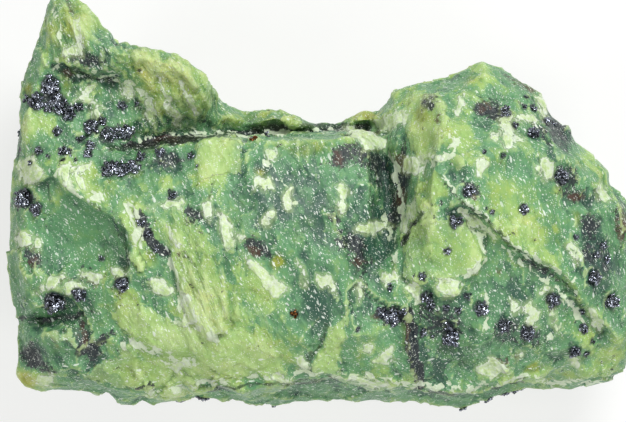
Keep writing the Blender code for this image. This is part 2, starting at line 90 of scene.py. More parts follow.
# Soft patches of yellow-green (positive) and deep green (negative), one of them painted shade: x, y,
# half length, half width, turn in degrees and strength.
LIGHT_PATCHES = (
    (-16.5, 13.0, 5.0, 3.4, -30, 1.0), (-26.9, 18.2, 2.8, 3.4, 0, 0.45), (-13.0, -15.2, 10.0, 4.0, -4, 1.0),
    (-7.2, -9.4, 3.8, 4.4, 0, 0.8), (20.6, 1.4, 4.6, 2.8, -35, 0.5), (17.4, 11.9, 3.0, 2.0, 0, 0.3),
    (-16.5, -20.9, 4.6, 1.2, 0, 0.7), (-25.7, -2.3, 4.4, 4.4, 0, 0.2),
    (-25.5, 20.5, 2.6, 2.2, 0, 0.7), (-17.0, 15.2, 4.8, 1.8, -20, 0.8), (-30.0, 17.5, 1.1, 3.0, 0, 0.5),
    (-31.2, 9.0, 1.7, 1.9, 0, 1.1), (-29.0, 8.2, 0.8, 2.4, 0, 0.8),
    (-28.5, 5.0, 2.0, 1.4, 20, 0.5), (-11.4, 4.2, 2.2, 3.4, 0, 1.15), (-17.0, 2.2, 3.4, 1.4, 10, 0.5),
    (-26.0, 3.6, 2.4, 1.3, -25, 0.8), (-24.6, 1.3, 2.6, 1.0, -38, 0.9), (-20.6, -0.6, 1.6, 1.8, 0, 0.8),
    (-19.4, -4.0, 0.9, 3.6, 4, 0.9), (-15.5, -2.6, 3.2, 2.6, 0, 0.75), (-13.4, -8.6, 2.6, 5.6, 12, 1.25),
    (-18.6, -6.8, 1.6, 1.2, 0, 0.5), (-20.6, -11.0, 2.0, 2.6, 10, 0.75), (-17.0, -14.0, 4.0, 1.6, -20, 0.7),
    (-17.5, -18.8, 5.5, 1.9, 0, 0.85), (-6.5, -17.6, 6.0, 2.6, 0, 0.5), (1.4, -15.6, 1.4, 3.0, -18, 1.0),
    (6.5, -15.5, 3.0, 3.4, 0, 0.35), (11.6, 7.8, 1.7, 3.6, -8, 1.25), (15.4, 7.6, 2.0, 3.2, 0, 0.8),
    (12.6, 1.6, 1.6, 2.6, 0, 0.6), (11.4, -1.8, 1.5, 2.6, -30, 0.95), (14.2, -5.4, 3.6, 3.0, -20, 0.6),
    (17.2, -5.0, 1.1, 2.4, 0, 0.9), (22.3, -2.8, 4.6, 1.9, -38, 0.85), (27.0, -6.2, 2.0, 2.0, 0, 0.4),
    (19.5, -4.6, 3.6, 0.9, -42, 0.4), (29.6, -13.8, 1.6, 2.8, 20, 0.4), (25.0, -18.8, 7.0, 1.5, 4, 0.7),
    (31.8, -17.0, 2.2, 2.0, 0, 0.7), (29.6, 5.6, 1.6, 2.6, 40, 0.7), (18.0, 14.2, 1.8, 1.6, 0, 0.6),
    (11.0, 11.6, 2.4, 1.3, 10, 0.6), (-32.0, -19.2, 2.2, 1.3, 0, 0.8), (4.6, 9.8, 1.5, 0.8, 0, 0.6),
    (-5.0, 10.0, 3.0, 0.9, 0, 0.25), (7.6, 9.2, 1.8, 1.0, 25, 0.7), (26.2, -8.2, 2.2, 0.7, -40, 0.5),
    # The first patch on the next line is painted shade, on the side of the bowl under its rim.
    (-21.8, -5.0, 1.2, 2.8, 0, -0.35), (-2.6, 0.0, 5.2, 4.6, 0, -0.5),
    (-0.6, -10.6, 2.4, 5.6, 6, -0.45), (5.4, -2.6, 2.6, 5.6, 0, -0.6), (14.0, -14.8, 3.8, 3.6, 0, -0.55),
    (22.5, -9.4, 4.4, 1.8, -30, -0.25), (-17.0, 9.2, 5.6, 1.0, -8, -0.4),
    (-16.0, 4.4, 3.0, 1.4, 5, -0.6), (30.4, -6.0, 2.6, 4.4, 0, -0.6), (-28.0, -10.4, 5.0, 1.6, 0, -0.35),
    (26.6, 7.0, 2.0, 4.2, 30, -0.6), (-26.0, 13.0, 3.0, 1.2, 0, -0.2), (-28.5, -16.0, 4.2, 2.4, 0, -0.35),
    (22.0, -13.8, 3.6, 2.2, 0, -0.4), (-7.0, -13.6, 3.6, 2.0, 0, -0.1), (13.9, -0.4, 2.6, 1.0, -60, -0.35),
)
# Blue-black clouds where fine magnetite darkens the green.
DARK_PATCHES = (
    (-25.4, 15.9, 2.3, 1.0, -10, 1.0), (-29.3, 13.0, 1.2, 1.2, 0, 1.0), (-29.0, 11.4, 1.8, 1.2, -30, 1.0),
    (-16.6, 5.0, 2.0, 1.0, 10, 0.9), (-13.5, -1.0, 1.4, 1.1, 0, 1.1), (4.8, 5.6, 2.6, 1.5, -20, 1.1),
    (7.0, 3.6, 1.5, 2.0, 0, 0.7), (9.3, 3.0, 1.1, 2.4, 0, 0.85), (8.5, -0.8, 0.8, 2.4, 0, 1.1),
    (1.6, -1.2, 1.0, 1.4, 20, 0.8), (26.0, 8.2, 1.8, 2.6, 20, 0.9), (26.8, 3.2, 1.6, 1.7, 0, 1.1),
    (29.8, -2.2, 1.6, 1.5, 0, 1.1), (30.6, -6.0, 2.0, 2.6, 0, 0.75), (13.6, -12.8, 3.2, 2.4, 0, 0.75),
    (21.0, -13.8, 2.6, 2.0, 0, 0.65), (24.5, -15.0, 2.0, 1.4, 0, 0.4), (-31.8, -16.4, 1.2, 1.3, 0, 1.2),
    (-30.4, -17.9, 1.8, 0.9, -20, 0.9), (-32.5, 0.5, 1.5, 1.3, 0, 1.2), (-31.4, -5.8, 1.1, 1.6, 20, 1.0),
    (-29.2, -10.6, 1.4, 1.2, 0, 1.1), (-30.0, -12.7, 3.2, 0.6, 0, 0.7), (-25.8, -11.9, 1.6, 0.5, 10, 0.6),
    (-21.8, -8.7, 1.2, 0.9, 20, 1.1), (-26.0, -8.2, 2.6, 1.0, 0, 0.6), (-18.9, -2.6, 0.6, 1.7, 20, 1.6),
    (-17.6, -4.6, 1.2, 0.6, -50, 1.4), (-6.6, -4.6, 2.2, 1.2, -35, 1.1), (2.2, 5.0, 1.0, 1.2, 0, 1.0),
    (3.2, -4.2, 2.0, 1.6, 0, 0.9), (4.8, -6.4, 1.2, 3.2, 10, 0.8), (8.0, -12.1, 2.2, 1.0, 0, 1.2),
    (10.4, -15.6, 0.7, 3.6, 8, 1.5), (11.2, -19.0, 0.7, 1.4, 0, 1.2), (18.6, 10.6, 1.8, 1.2, -20, 1.0),
    (20.4, 9.2, 1.6, 1.2, -50, 0.9), (16.8, 1.6, 1.4, 0.9, -40, 1.1), (24.2, -7.0, 3.0, 0.5, -33, 0.4),
    (28.6, -10.6, 2.2, 0.4, -42, 0.35), (12.4, 10.9, 0.9, 0.9, 0, 0.8), (27.8, 0.8, 1.6, 0.9, 0, 0.8),
    (13.6, 0.2, 0.4, 2.4, -52, 0.4), (-22.0, 8.0, 2.4, 0.9, 0, 0.9), (-16.0, 7.2, 4.2, 0.5, 5, 1.4),
    (-24.6, -16.0, 1.6, 2.0, -40, 0.7), (5.2, 7.9, 3.0, 0.7, 0, 0.9), (-33.0, 6.6, 0.5, 1.6, 0, 1.0),
    (19.4, -17.2, 1.4, 0.7, 30, 0.6), (33.4, -1.4, 1.2, 3.0, 0, 0.6), (20.3, 4.4, 1.0, 1.2, 0, 0.4),
    (-20.6, 10.9, 1.4, 0.6, 0, 0.7), (-13.0, 9.6, 3.4, 0.9, -18, 0.5), (31.4, -10.8, 1.8, 1.2, 0, 0.5),
)
# Rust and brown stains.
RUST_PATCHES = (
    (-27.4, 14.4, 1.0, 0.8, 0, 0.9), (-23.4, 14.6, 1.6, 0.6, -10, 0.5), (-16.6, 7.2, 2.0, 0.35, 4, 1.5),
    (-15.1, -5.3, 0.7, 0.4, 20, 1.0), (-31.2, -6.4, 1.0, 0.8, 20, 0.9), (-21.4, -8.6, 1.0, 0.6, 20, 0.9),
    (-6.8, -5.2, 1.2, 0.8, -30, 1.1), (2.2, 5.2, 0.7, 1.1, 10, 1.1), (4.6, -6.2, 0.9, 0.6, 20, 1.0),
    (9.2, 4.6, 1.0, 1.2, 0, 1.2), (8.9, 0.8, 0.7, 1.8, 0, 1.1), (13.2, 9.4, 0.7, 0.9, 0, 0.9),
    (18.3, 10.8, 0.9, 0.7, 0, 1.0), (16.9, 0.8, 0.7, 0.5, -30, 1.3), (28.2, 0.9, 1.2, 0.6, -10, 1.2),
    (19.7, -7.3, 0.8, 0.7, 0, 0.7), (6.0, -12.2, 1.1, 0.8, 0, 1.0), (22.6, 13.2, 2.6, 0.9, -28, 0.8),
    (24.6, 9.0, 1.0, 0.9, 0, 0.4), (33.4, -2.4, 0.8, 3.0, 0, 0.9), (-28.0, -14.6, 2.4, 1.6, 0, 0.55),
    (-25.8, -14.2, 0.6, 1.6, 10, 0.8), (21.0, -17.0, 1.8, 0.6, 20, 0.7), (9.8, -13.6, 0.3, 2.8, 4, 0.9),
    (-24.0, 9.8, 1.0, 1.2, 0, 0.5), (-19.3, -5.2, 0.4, 0.8, 0, 0.6), (26.6, 6.8, 0.7, 0.5, 0, 0.6),
    (-4.8, -16.6, 1.6, 0.3, 0, 0.5), (1.6, -18.9, 1.0, 0.3, -5, 0.9), (11.6, -6.6, 0.5, 1.0, 30, 0.6),
    (-27.2, 22.0, 0.7, 1.8, 0, 0.6), (-28.4, 17.4, 0.4, 1.6, 0, 0.5), (14.6, 8.6, 0.6, 0.5, 0, 0.5),
)
# Olive-yellow spots.
OLIVE_PATCHES = (
    (-27.5, 18.5, 2.4, 4.0, 0, 0.35), (-17.5, 14.0, 5.0, 2.6, -20, 0.3), (-5.5, 9.3, 6.0, 1.2, 0, 0.4),
    (5.0, 9.8, 2.4, 1.0, 0, 0.45), (11.6, 8.4, 2.0, 3.2, 0, 0.3),
    (-6.3, 3.6, 0.9, 0.7, 0, 1.1), (-4.4, -6.1, 0.9, 0.9, 20, 1.2), (11.7, 10.0, 0.9, 0.8, 0, 1.0),
    (-32.0, 12.6, 0.7, 1.0, 0, 0.9), (-32.2, -19.3, 1.2, 1.0, 0, 0.8), (23.6, -18.0, 1.0, 0.5, 0, 1.0),
    (5.8, 9.6, 0.7, 0.5, 0, 1.0), (-32.2, 3.0, 0.9, 1.4, 0, 0.8), (-1.0, 6.0, 2.2, 0.9, 0, 0.7),
    (28.6, -16.8, 1.0, 0.5, 0, 0.3), (28.4, -1.6, 0.5, 0.9, 20, 0.9), (-18.2, -5.6, 0.5, 0.7, 0, 0.7),
    (-24.2, -19.0, 1.6, 0.5, 0, 0.5), (9.5, -14.2, 0.5, 2.4, 5, 0.7), (-27.6, 13.4, 0.6, 1.2, 0, 0.8),
    (17.0, 14.2, 1.0, 0.8, 0, 0.4), (-20.2, 3.4, 1.0, 0.5, 0, 0.6), (-17.4, 10.8, 1.2, 1.4, 0, 0.4),
)
# Thin pale flakes with a crisp edge: x, y, half length, half width, turn and lift in mm.
PALE_FLAKES = (
    (-26.8, 17.0, 0.9, 0.6, 20, 0.2), (-24.9, 11.2, 1.4, 0.35, -40, 0.15), (-25.6, 12.4, 1.1, 0.3, 45, 0.15),
    (-24.4, 10.0, 0.9, 0.35, -75, 0.15), (-27.8, 3.2, 0.45, 1.0, 0, 0.2), (-26.4, 3.0, 0.35, 1.6, 30, 0.2),
    (-25.8, 4.0, 0.7, 0.35, 0, 0.15), (-18.5, -0.5, 0.5, 0.3, 0, 0.1), (-12.0, -0.5, 0.35, 1.0, 0, 0.2),
    (-32.5, -3.7, 0.8, 0.6, -20, 0.2), (-30.8, -4.2, 0.5, 0.6, 0, 0.2), (-17.6, -8.8, 1.4, 0.5, -25, 0.2),
    (-30.1, -19.4, 0.7, 0.5, 20, 0.2), (-15.4, -17.7, 0.7, 0.35, 0, 0.15), (-3.2, 1.0, 0.35, 1.0, 0, 0.2),
    (-10.2, -2.8, 0.5, 1.4, 10, 0.2), (5.9, -2.4, 1.2, 0.5, 5, 0.25), (4.0, 8.2, 0.5, 0.5, 0, 0.2),
    (8.2, 9.3, 1.7, 0.9, 25, 0.25), (10.4, 4.2, 0.8, 0.8, 0, 0.2), (20.7, 8.3, 0.6, 1.2, 0, 0.25),
    (21.8, 7.1, 0.5, 0.5, 0, 0.25), (23.0, 9.5, 1.0, 0.4, 0, 0.2), (24.8, 11.0, 0.5, 1.2, 12, 0.2),
    (17.7, 4.3, 0.6, 1.0, -15, 0.2), (24.6, 4.3, 0.8, 0.6, 0, 0.25), (25.3, 3.5, 0.5, 0.7, 0, 0.25),
    (31.4, 1.2, 0.5, 0.8, 20, 0.2), (-1.7, -17.4, 0.5, 1.1, 15, 0.2), (-4.3, -18.9, 0.9, 0.5, -30, 0.2),
    (7.5, -16.6, 0.8, 0.4, 25, 0.15), (5.4, -15.7, 0.5, 0.3, 30, 0.1), (18.9, -17.9, 1.2, 0.8, 8, 0.35),
    (23.6, -12.7, 0.4, 0.9, -10, 0.15), (23.1, -11.2, 0.35, 0.5, 0, 0.15), (21.5, -11.0, 0.4, 0.6, 0, 0.15),
    (24.6, -9.4, 0.8, 0.35, 20, 0.15), (22.1, -16.5, 0.3, 0.3, 0, 0.1), (28.3, -17.3, 0.5, 0.3, 0, 0.1),
    (25.8, -12.5, 0.2, 1.4, 15, 0.15), (5.0, -19.4, 2.4, 0.35, -8, 0.2), (16.8, -2.0, 0.6, 0.5, 0, 0.2),
    (-31.6, 4.0, 1.0, 1.0, 0, 0.1), (-29.0, -8.6, 1.0, 0.5, 40, 0.2), (-26.6, -9.0, 0.6, 0.4, 0, 0.2),
    (-24.8, -7.9, 0.8, 0.35, -15, 0.2), (-27.4, -9.2, 0.3, 0.5, 0, 0.1), (-21.6, -7.3, 0.8, 0.4, 0, 0.2),
    (-5.2, -1.0, 0.35, 0.35, 0, 0.1), (-6.0, -2.0, 0.3, 0.3, 0, 0.1), (-8.6, -3.4, 0.3, 0.3, 0, 0.1),
    (-1.7, -7.6, 0.2, 1.2, 20, 0.1), (0.4, -8.2, 0.4, 0.8, 20, 0.15), (8.6, -7.8, 0.5, 0.6, 10, 0.15),
    (7.4, -8.0, 0.5, 0.5, 0, 0.15), (10.6, -9.0, 0.7, 0.9, 20, 0.2), (4.4, -9.6, 0.25, 0.9, 0, 0.1),
    (1.4, -8.8, 0.2, 0.9, 20, 0.1), (-30.6, -9.4, 0.5, 0.3, 45, 0.1), (12.6, 5.2, 1.2, 0.4, -10, 0.2),
    (-5.0, 5.6, 0.6, 0.4, -40, 0.1), (6.3, 6.9, 1.2, 0.6, -35, 0.2), (30.6, -12.6, 0.3, 1.4, 30, 0.1),
    (-14.2, 12.0, 0.3, 2.4, 30, 0.12), (-16.6, 12.2, 0.25, 1.8, 25, 0.12), (-18.4, 10.6, 0.4, 1.2, 15, 0.12),
    (-16.0, 10.2, 0.45, 1.1, 30, 0.12), (-21.0, 12.4, 0.5, 0.7, 0, 0.12), (-26.3, 19.0, 0.2, 1.3, 8, 0.1),
    (27.9, -4.9, 0.35, 0.9, 20, 0.15), (19.2, 7.6, 0.4, 0.4, 0, 0.1), (15.6, 11.0, 0.4, 0.9, -30, 0.1),
)
# The corners of those flakes lie about this far out, as a share of the half length and half width.
SHARD_REACH = 1.4
# Pale flakes whose outline is known, with the lift of each in mm. Corners run round the flake.
PALE_OUTLINES = (
    (0.35, ((-8.3, -5.3), (-7.9, -6.4), (-7.0, -7.2), (-6.4, -8.2), (-6.0, -9.0), (-5.2, -9.4), (-4.9, -10.2),
            (-4.1, -10.0), (-3.3, -9.2), (-4.2, -8.4), (-4.8, -7.4), (-6.0, -7.0), (-6.9, -6.2))),
    (0.25, ((-17.4, 0.1), (-16.6, 0.5), (-15.8, 0.2), (-15.0, 0.7), (-14.8, 0.1), (-15.4, -0.4),
            (-16.4, -0.4))),
    (0.3, ((-7.1, 2.9), (-5.0, 3.1), (-4.7, 1.7), (-5.3, 1.9), (-5.9, 1.3), (-6.4, 2.1), (-7.0, 1.6))),
    (0.3, ((2.0, 2.2), (2.6, 2.4), (3.5, 1.7), (2.7, 0.6), (3.2, 0.0), (2.6, -1.0), (2.1, -0.2), (2.3, 0.6))),
    (0.25, ((2.9, 8.4), (4.3, 8.6), (5.6, 7.6), (6.2, 6.2), (5.2, 6.0), (4.4, 7.2))),
    (0.2, ((-16.9, -1.9), (-16.2, -3.2), (-15.1, -5.0), (-14.9, -4.4), (-15.7, -3.0))),
    (0.2, ((15.6, -0.6), (17.3, -1.6), (18.8, -2.9), (19.9, -3.9), (19.2, -3.9), (17.6, -2.7), (15.9, -1.5))),
    (0.3, ((-14.9, -9.4), (-13.9, -9.9), (-13.0, -12.6), (-13.7, -13.2), (-15.6, -13.2), (-14.6, -11.8))),
    (0.25, ((9.0, -2.8), (9.6, -0.6), (11.0, 0.8), (11.1, -0.4), (10.2, -1.6), (9.7, -3.0))),
    (0.3, ((13.2, -8.1), (14.4, -7.9), (15.5, -8.4), (15.2, -9.6), (14.0, -10.0), (13.1, -9.4))),
)
# Big yellow-green flakes, a little proud of the ground round them.
LIME_OUTLINES = (
    (0.3, ((9.7, -3.9), (10.7, -2.2), (13.4, -1.1), (15.8, -1.9), (16.8, -2.8), (17.8, -3.6), (18.5, -5.2),
           (18.3, -6.1), (17.3, -6.8), (16.3, -7.4), (15.5, -8.2), (13.0, -8.3), (12.1, -8.1), (11.0, -8.6),
           (10.1, -8.8), (9.5, -7.7), (9.4, -5.5))),
    (0.3, ((-0.4, -18.6), (-0.6, -17.0), (0.5, -15.6), (1.3, -13.4), (2.4, -12.8), (3.2, -10.6), (3.3, -12.8),
           (2.6, -15.4), (2.2, -18.6))),
    (0.25, ((9.6, 8.0), (9.2, 10.2), (10.4, 12.2), (13.4, 11.6), (14.2, 9.6), (13.4, 6.4), (12.6, 4.6),
            (10.8, 5.2))),
    (0.25, ((-13.4, 6.9), (-13.6, 4.8), (-12.9, 2.6), (-11.0, 3.2), (-8.6, 3.4), (-8.3, 7.4))),
    (0.2, ((-22.4, -10.2), (-22.8, -12.4), (-20.6, -14.2), (-22.0, -16.4), (-26.5, -19.0), (-20.0, -20.4),
           (-12.0, -19.0), (-3.5, -18.4), (-5.5, -15.0), (-9.0, -13.8), (-15.0, -13.2), (-18.4, -11.4))),
)
# Thin pale edges, where a broken edge lets light through: half width, strength and the line's points.
PALE_LINES = (
    (0.35, 1.0, ((15.6, -1.9), (16.8, -2.8), (17.8, -3.6), (18.5, -5.2), (18.2, -6.1), (17.3, -6.8),
                 (15.6, -7.9))),
    (0.45, 0.9, ((11.0, 4.9), (12.4, 4.5), (13.6, 5.0), (14.4, 5.6), (14.8, 7.2))),
    (0.5, 0.8, ((-28.4, 3.6), (-26.4, 1.4), (-24.0, 0.9), (-22.0, 0.1), (-20.5, -0.6), (-19.6, -2.2),
                (-19.5, -5.0))),
    (0.6, 0.9, ((-21.2, -15.2), (-19.6, -15.0), (-18.2, -15.7), (-16.6, -16.6), (-15.2, -17.4),
                (-13.8, -17.2))),
    (0.35, 0.8, ((-19.4, -20.6), (-16.0, -20.2), (-12.5, -19.4), (-9.5, -19.2), (-6.5, -18.8),
                 (-4.0, -19.3))),
    (0.3, 0.8, ((-4.0, -19.3), (-2.0, -18.4), (1.5, -18.6), (5.0, -18.9), (9.0, -19.5), (13.0, -20.0),
                (17.0, -20.2))),
    (0.3, 0.7, ((17.0, -20.2), (20.0, -19.3), (23.0, -18.8), (26.0, -19.6), (30.0, -19.8), (33.5, -18.8))),
    (0.35, 0.8, ((15.6, -0.6), (17.4, -1.7), (19.6, -3.8), (22.2, -6.3), (25.0, -8.3), (27.4, -10.4),
                 (29.4, -13.6))),
    (0.3, 0.7, ((13.8, 2.6), (15.4, 0.9), (18.4, -1.6), (21.8, -4.8), (25.6, -7.0), (28.6, -8.6))),
    (0.3, 0.7, ((-21.2, 7.1), (-17.0, 7.7), (-13.4, 7.9), (-8.0, 7.8), (-3.0, 8.0), (3.0, 8.4))),
    (0.4, 0.9, ((-16.2, -6.0), (-15.4, -8.2), (-14.8, -10.2), (-15.6, -12.8), (-14.2, -12.6), (-12.4, -13.6),
                (-11.4, -14.4), (-10.2, -14.2))),
    (0.4, 0.7, ((-25.4, 15.4), (-23.0, 14.2), (-20.8, 13.4), (-19.4, 12.4))),
    (0.3, 0.8, ((-29.0, 21.4), (-28.3, 16.4), (-29.4, 13.8))),
    (0.3, 0.7, ((7.2, -1.2), (8.0, -3.6), (8.6, -6.2), (10.0, -8.4), (10.9, -10.6))),
    (0.3, 0.7, ((8.0, 6.0), (8.6, 2.4), (8.9, -0.6), (9.6, -2.4))),
    (0.3, 0.6, ((-5.6, 4.6), (-4.6, 2.6), (-3.2, 2.2), (-2.4, 0.2))),
    (0.25, 0.6, ((18.4, -9.8), (18.3, -13.0), (17.4, -16.0))),
    (0.25, 0.6, ((28.2, -9.6), (27.6, -11.4), (26.2, -13.6), (25.6, -14.6))),
)
# Dark cracks and seams, and painted shade in crevices and on the shaded side of steps.
DARK_LINES = (
    (0.45, 1.0, ((-22.6, 6.3), (-20.3, 6.5), (-15.5, 7.0), (-10.0, 7.9), (-2.0, 8.6), (5.5, 8.6))),
    (0.35, 0.6, ((-28.0, 2.6), (-25.9, 0.9), (-24.0, -0.4), (-22.2, -0.9), (-21.2, -2.4), (-20.7, -5.2),
                 (-21.4, -7.4))),
    (0.25, 0.8, ((13.9, 2.4), (15.4, 0.6), (17.6, -0.9), (19.6, -2.8), (22.0, -5.4))),
    (0.3, 0.65, ((21.0, -4.4), (24.0, -6.6), (26.4, -8.2), (27.8, -9.6), (29.4, -11.8), (30.6, -13.8))),
    (0.35, 0.9, ((9.6, -4.4), (10.0, -3.0), (10.8, -1.8), (11.4, -0.8))),
    (0.25, 0.8, ((-12.0, -20.2), (-7.0, -19.8), (-2.5, -19.6), (0.5, -19.3))),
    (0.3, 0.9, ((12.2, -20.6), (16.4, -21.0), (20.0, -20.2), (22.6, -19.4))),
    (0.3, 0.45, ((15.6, -8.6), (16.2, -7.8), (17.6, -7.2), (18.6, -6.4), (18.9, -5.0))),
    (0.3, 0.45, ((-9.0, -5.0), (-8.6, -6.6), (-7.6, -7.8), (-6.8, -9.4), (-5.4, -10.4))),
    (0.3, 0.7, ((-14.8, -5.4), (-13.4, -6.6))),
    (0.35, 0.45, ((-9.6, -13.9), (-9.2, -11.0), (-9.4, -7.6), (-10.2, -4.8))),
    (0.35, 0.45, ((-21.4, -15.8), (-19.6, -15.6), (-18.0, -16.4), (-16.4, -17.2))),
    (0.3, 0.6, ((5.7, 5.6), (5.8, 2.0), (5.9, -0.6), (5.4, -3.0), (4.6, -5.6), (4.0, -8.0))),
    (0.3, 0.4, ((-13.5, 7.0), (-13.8, 5.0), (-13.4, 3.2))),
    (0.4, 0.8, ((-27.4, 15.0), (-24.8, 14.2), (-22.4, 13.6))),
    (0.3, 0.45, ((13.2, -7.8), (12.7, -9.0), (13.0, -10.2), (14.2, -10.5), (15.3, -9.9))),
    (0.4, 0.7, ((-0.8, -18.2), (-0.9, -16.6), (0.2, -15.2), (1.0, -13.2))),
)
# Seams of black magnetite.
BLACK_LINES = (
    (0.25, 1.1, ((-21.0, 6.6), (-18.0, 7.0), (-15.5, 7.2), (-13.0, 7.6))),
    (0.5, 1.2, ((-19.7, -1.2), (-19.0, -2.6), (-18.4, -3.4), (-17.8, -4.6), (-16.9, -5.3))),
    (0.22, 0.6, ((-33.0, -12.6), (-31.4, -12.2), (-29.6, -12.6), (-28.2, -12.2), (-26.2, -12.4))),
    (0.35, 0.9, ((-26.4, -12.4), (-25.6, -14.2), (-26.4, -16.2), (-24.4, -15.2), (-22.6, -14.0))),
    (0.14, 0.6, ((13.9, 2.4), (15.4, 0.6), (17.6, -0.9), (19.6, -2.8))),
    (0.16, 0.6, ((22.6, -5.9), (24.6, -7.2), (27.0, -9.0))),
    (0.42, 1.3, ((9.8, -11.4), (10.2, -13.2), (10.2, -15.2), (10.7, -17.2), (11.2, -18.8), (11.2, -20.2))),
    (0.3, 0.9, ((9.6, -4.4), (10.0, -3.0), (10.8, -1.8))),
    (0.3, 0.7, ((9.6, 7.0), (9.3, 4.0), (8.8, 1.4), (8.4, -1.2), (8.0, -2.6))),
    (0.2, 0.9, ((-19.9, -20.2), (-18.8, -19.4), (-17.9, -19.9))),
    (0.2, 0.8, ((-11.9, 0.4), (-11.4, 2.4))),
)
# Ragged strips where the fibres stand up as pale streaks: start, end, half width, streak strength.
STREAKED = (
    ((-28.5, 20.5), (-26.0, 14.5), 2.6, 0.8), ((-24.5, 21.0), (-21.0, 13.0), 2.4, 1.0),
    ((-20.0, 17.0), (-16.5, 9.5), 3.4, 1.0), ((-15.0, 16.0), (-11.8, 10.0), 2.4, 1.0),
    ((-14.8, -3.0), (-12.6, -14.0), 2.6, 1.0), ((-10.6, -5.0), (-9.6, -12.0), 1.4, 0.8),
    ((-8.0, -9.5), (-5.5, -14.5), 1.6, 0.5),
)
# The fibres run along this direction, in degrees.
STREAK_TURN = -68.0
# Along the front edge the flecks lie flat: where that starts, and where all of them do, in Y.
LYING = (-14.0, -18.0)
# Past this distance in mm a flake's outline has no effect.
OUTLINE_REACH = 3.0
# Places where the surface is smooth, as if polished: the bowl and the faces of the big flakes.
SMOOTH_PATCHES = (
    (-26.5, -3.5, 4.8, 5.2, 0, 0.9), (-2.5, 1.0, 5.0, 4.0, 0, 0.7), (-1.0, -9.0, 3.0, 5.0, 0, 0.6),
    (14.0, -5.2, 3.4, 2.6, -20, 0.8), (21.5, 1.5, 5.0, 2.6, -35, 0.7), (-11.4, 4.0, 2.0, 3.2, 0, 0.8),
    (11.6, 7.6, 1.5, 3.4, -8, 0.7), (15.4, 8.0, 1.8, 3.0, 0, 0.5), (-17.0, -14.0, 4.0, 2.0, -15, 0.4),
    (-6.5, -16.0, 6.0, 2.4, 0, 0.6), (21.5, -11.0, 5.0, 3.0, -30, 0.5), (5.5, -15.0, 3.0, 3.0, 0, 0.6),
)
# Magnetite grains of the upper side: x, y and radius.
GRAINS = (
    (-29.4, 13.2, 0.9), (-32.0, 11.5, 0.5), (-30.8, 11.5, 0.8), (-31.0, 10.8, 0.5), (-29.7, 10.7, 0.5),
    (-28.6, 11.2, 1.0), (-27.4, 10.1, 0.8), (-26.3, 10.8, 0.5), (-28.6, 8.1, 0.55), (-33.0, 8.0, 0.4),
    (-21.5, 10.9, 0.5), (-19.9, 11.3, 0.35), (-24.9, 8.6, 0.8), (-23.7, 9.2, 0.5), (-23.0, 7.6, 0.9),
    (-22.2, 7.9, 0.7), (-21.0, 8.0, 0.8), (-26.1, 7.3, 0.45), (-25.0, 6.5, 0.5), (-19.5, 14.8, 0.2),
    (-30.7, 6.0, 0.45), (-29.6, 5.4, 0.3), (-28.0, 5.9, 0.5), (-27.3, 5.8, 0.4), (-25.2, 5.7, 0.5),
    (-28.0, 4.9, 0.25), (-28.3, 4.5, 0.2), (-31.6, 4.6, 0.3), (-26.6, 5.0, 0.25), (-22.8, 4.0, 0.9),
    (-21.6, 4.0, 0.8), (-20.2, 4.2, 0.7), (-19.4, 5.3, 0.5), (-17.3, 5.8, 0.5), (-13.9, 5.4, 0.4),
    (-13.2, 4.3, 0.2), (-32.5, 0.8, 0.9), (-31.0, -0.4, 0.7), (-23.8, -5.9, 0.3), (-25.8, -6.8, 0.2),
    (-25.0, -6.9, 0.15), (-16.0, 1.1, 0.5), (-29.0, -10.8, 1.0), (-26.2, -9.8, 0.7), (-21.5, -8.7, 0.7),
    (-5.6, 7.6, 0.4), (-19.4, -1.9, 0.45), (-18.6, -3.2, 0.45), (-17.8, -4.8, 0.4), (7.9, -9.0, 0.4),
    (4.3, -13.6, 0.3), (7.0, -11.8, 0.6), (8.2, -12.3, 0.8), (9.3, -11.7, 0.4), (22.9, 11.9, 0.25),
    (22.7, 10.8, 0.3), (23.7, 10.7, 0.4), (20.6, 10.2, 0.6), (21.6, 8.8, 0.35), (23.6, 8.0, 0.6),
    (25.2, 9.3, 0.4), (26.0, 9.0, 0.3), (18.1, 5.8, 0.25), (20.2, 5.4, 0.3), (26.7, 3.2, 0.7),
    (15.0, -1.8, 0.65), (14.1, -5.0, 0.4), (13.9, -3.9, 0.15), (12.7, -1.3, 0.2), (11.4, -7.8, 0.5),
    (10.5, -7.7, 0.2), (22.5, -0.5, 0.55), (19.0, -0.8, 0.3), (18.4, -0.4, 0.2), (16.3, 1.5, 0.6),
    (28.2, -3.5, 0.35), (31.4, -4.5, 0.4), (30.6, -5.5, 0.4), (31.8, -6.0, 0.4), (30.3, -8.0, 0.7),
    (32.4, -10.6, 0.75), (11.8, -10.0, 0.6), (12.3, -10.8, 0.5), (16.4, -10.0, 0.4), (17.8, -11.3, 0.75),
    (14.0, -11.3, 0.4), (15.3, -11.5, 0.35), (12.3, -11.4, 0.3), (11.5, -14.0, 0.4), (12.5, -14.4, 0.25),
    (14.3, -13.3, 0.5), (14.6, -14.5, 0.8), (20.4, -13.2, 0.7), (23.0, -14.1, 0.75), (25.8, -10.4, 0.75),
    (29.0, -11.7, 0.35), (29.3, -13.6, 0.5), (30.2, -15.0, 0.35), (28.3, -16.2, 0.6), (29.6, -16.4, 0.35),
    (27.0, -18.3, 0.15), (32.6, -18.2, 0.15), (28.3, -12.9, 0.15),
)
# Weathered brown grains: x, y and radius.
RUSTY_GRAINS = ((-7.0, 7.2, 0.42), (-2.6, -11.9, 0.42))
# Grains of the sides lie between these heights, in mm.
HIDDEN_LOW = 1.2
HIDDEN_HIGH = 9.0
# Height in mm at which a grain drawn just past the rim looks for the stone.
RIM_HEIGHT = 16.0


# ---------------------------------------------------------------- settings that a user may change


def srgb(text):
    """A colour written as six hexadecimal digits, in Blender's linear values."""
    parts = [int(text[i : i + 2], 16) / 255 for i in (0, 2, 4)]
    return tuple(c / 12.92 if c <= 0.04045 else ((c + 0.055) / 1.055) ** 2.4 for c in parts)


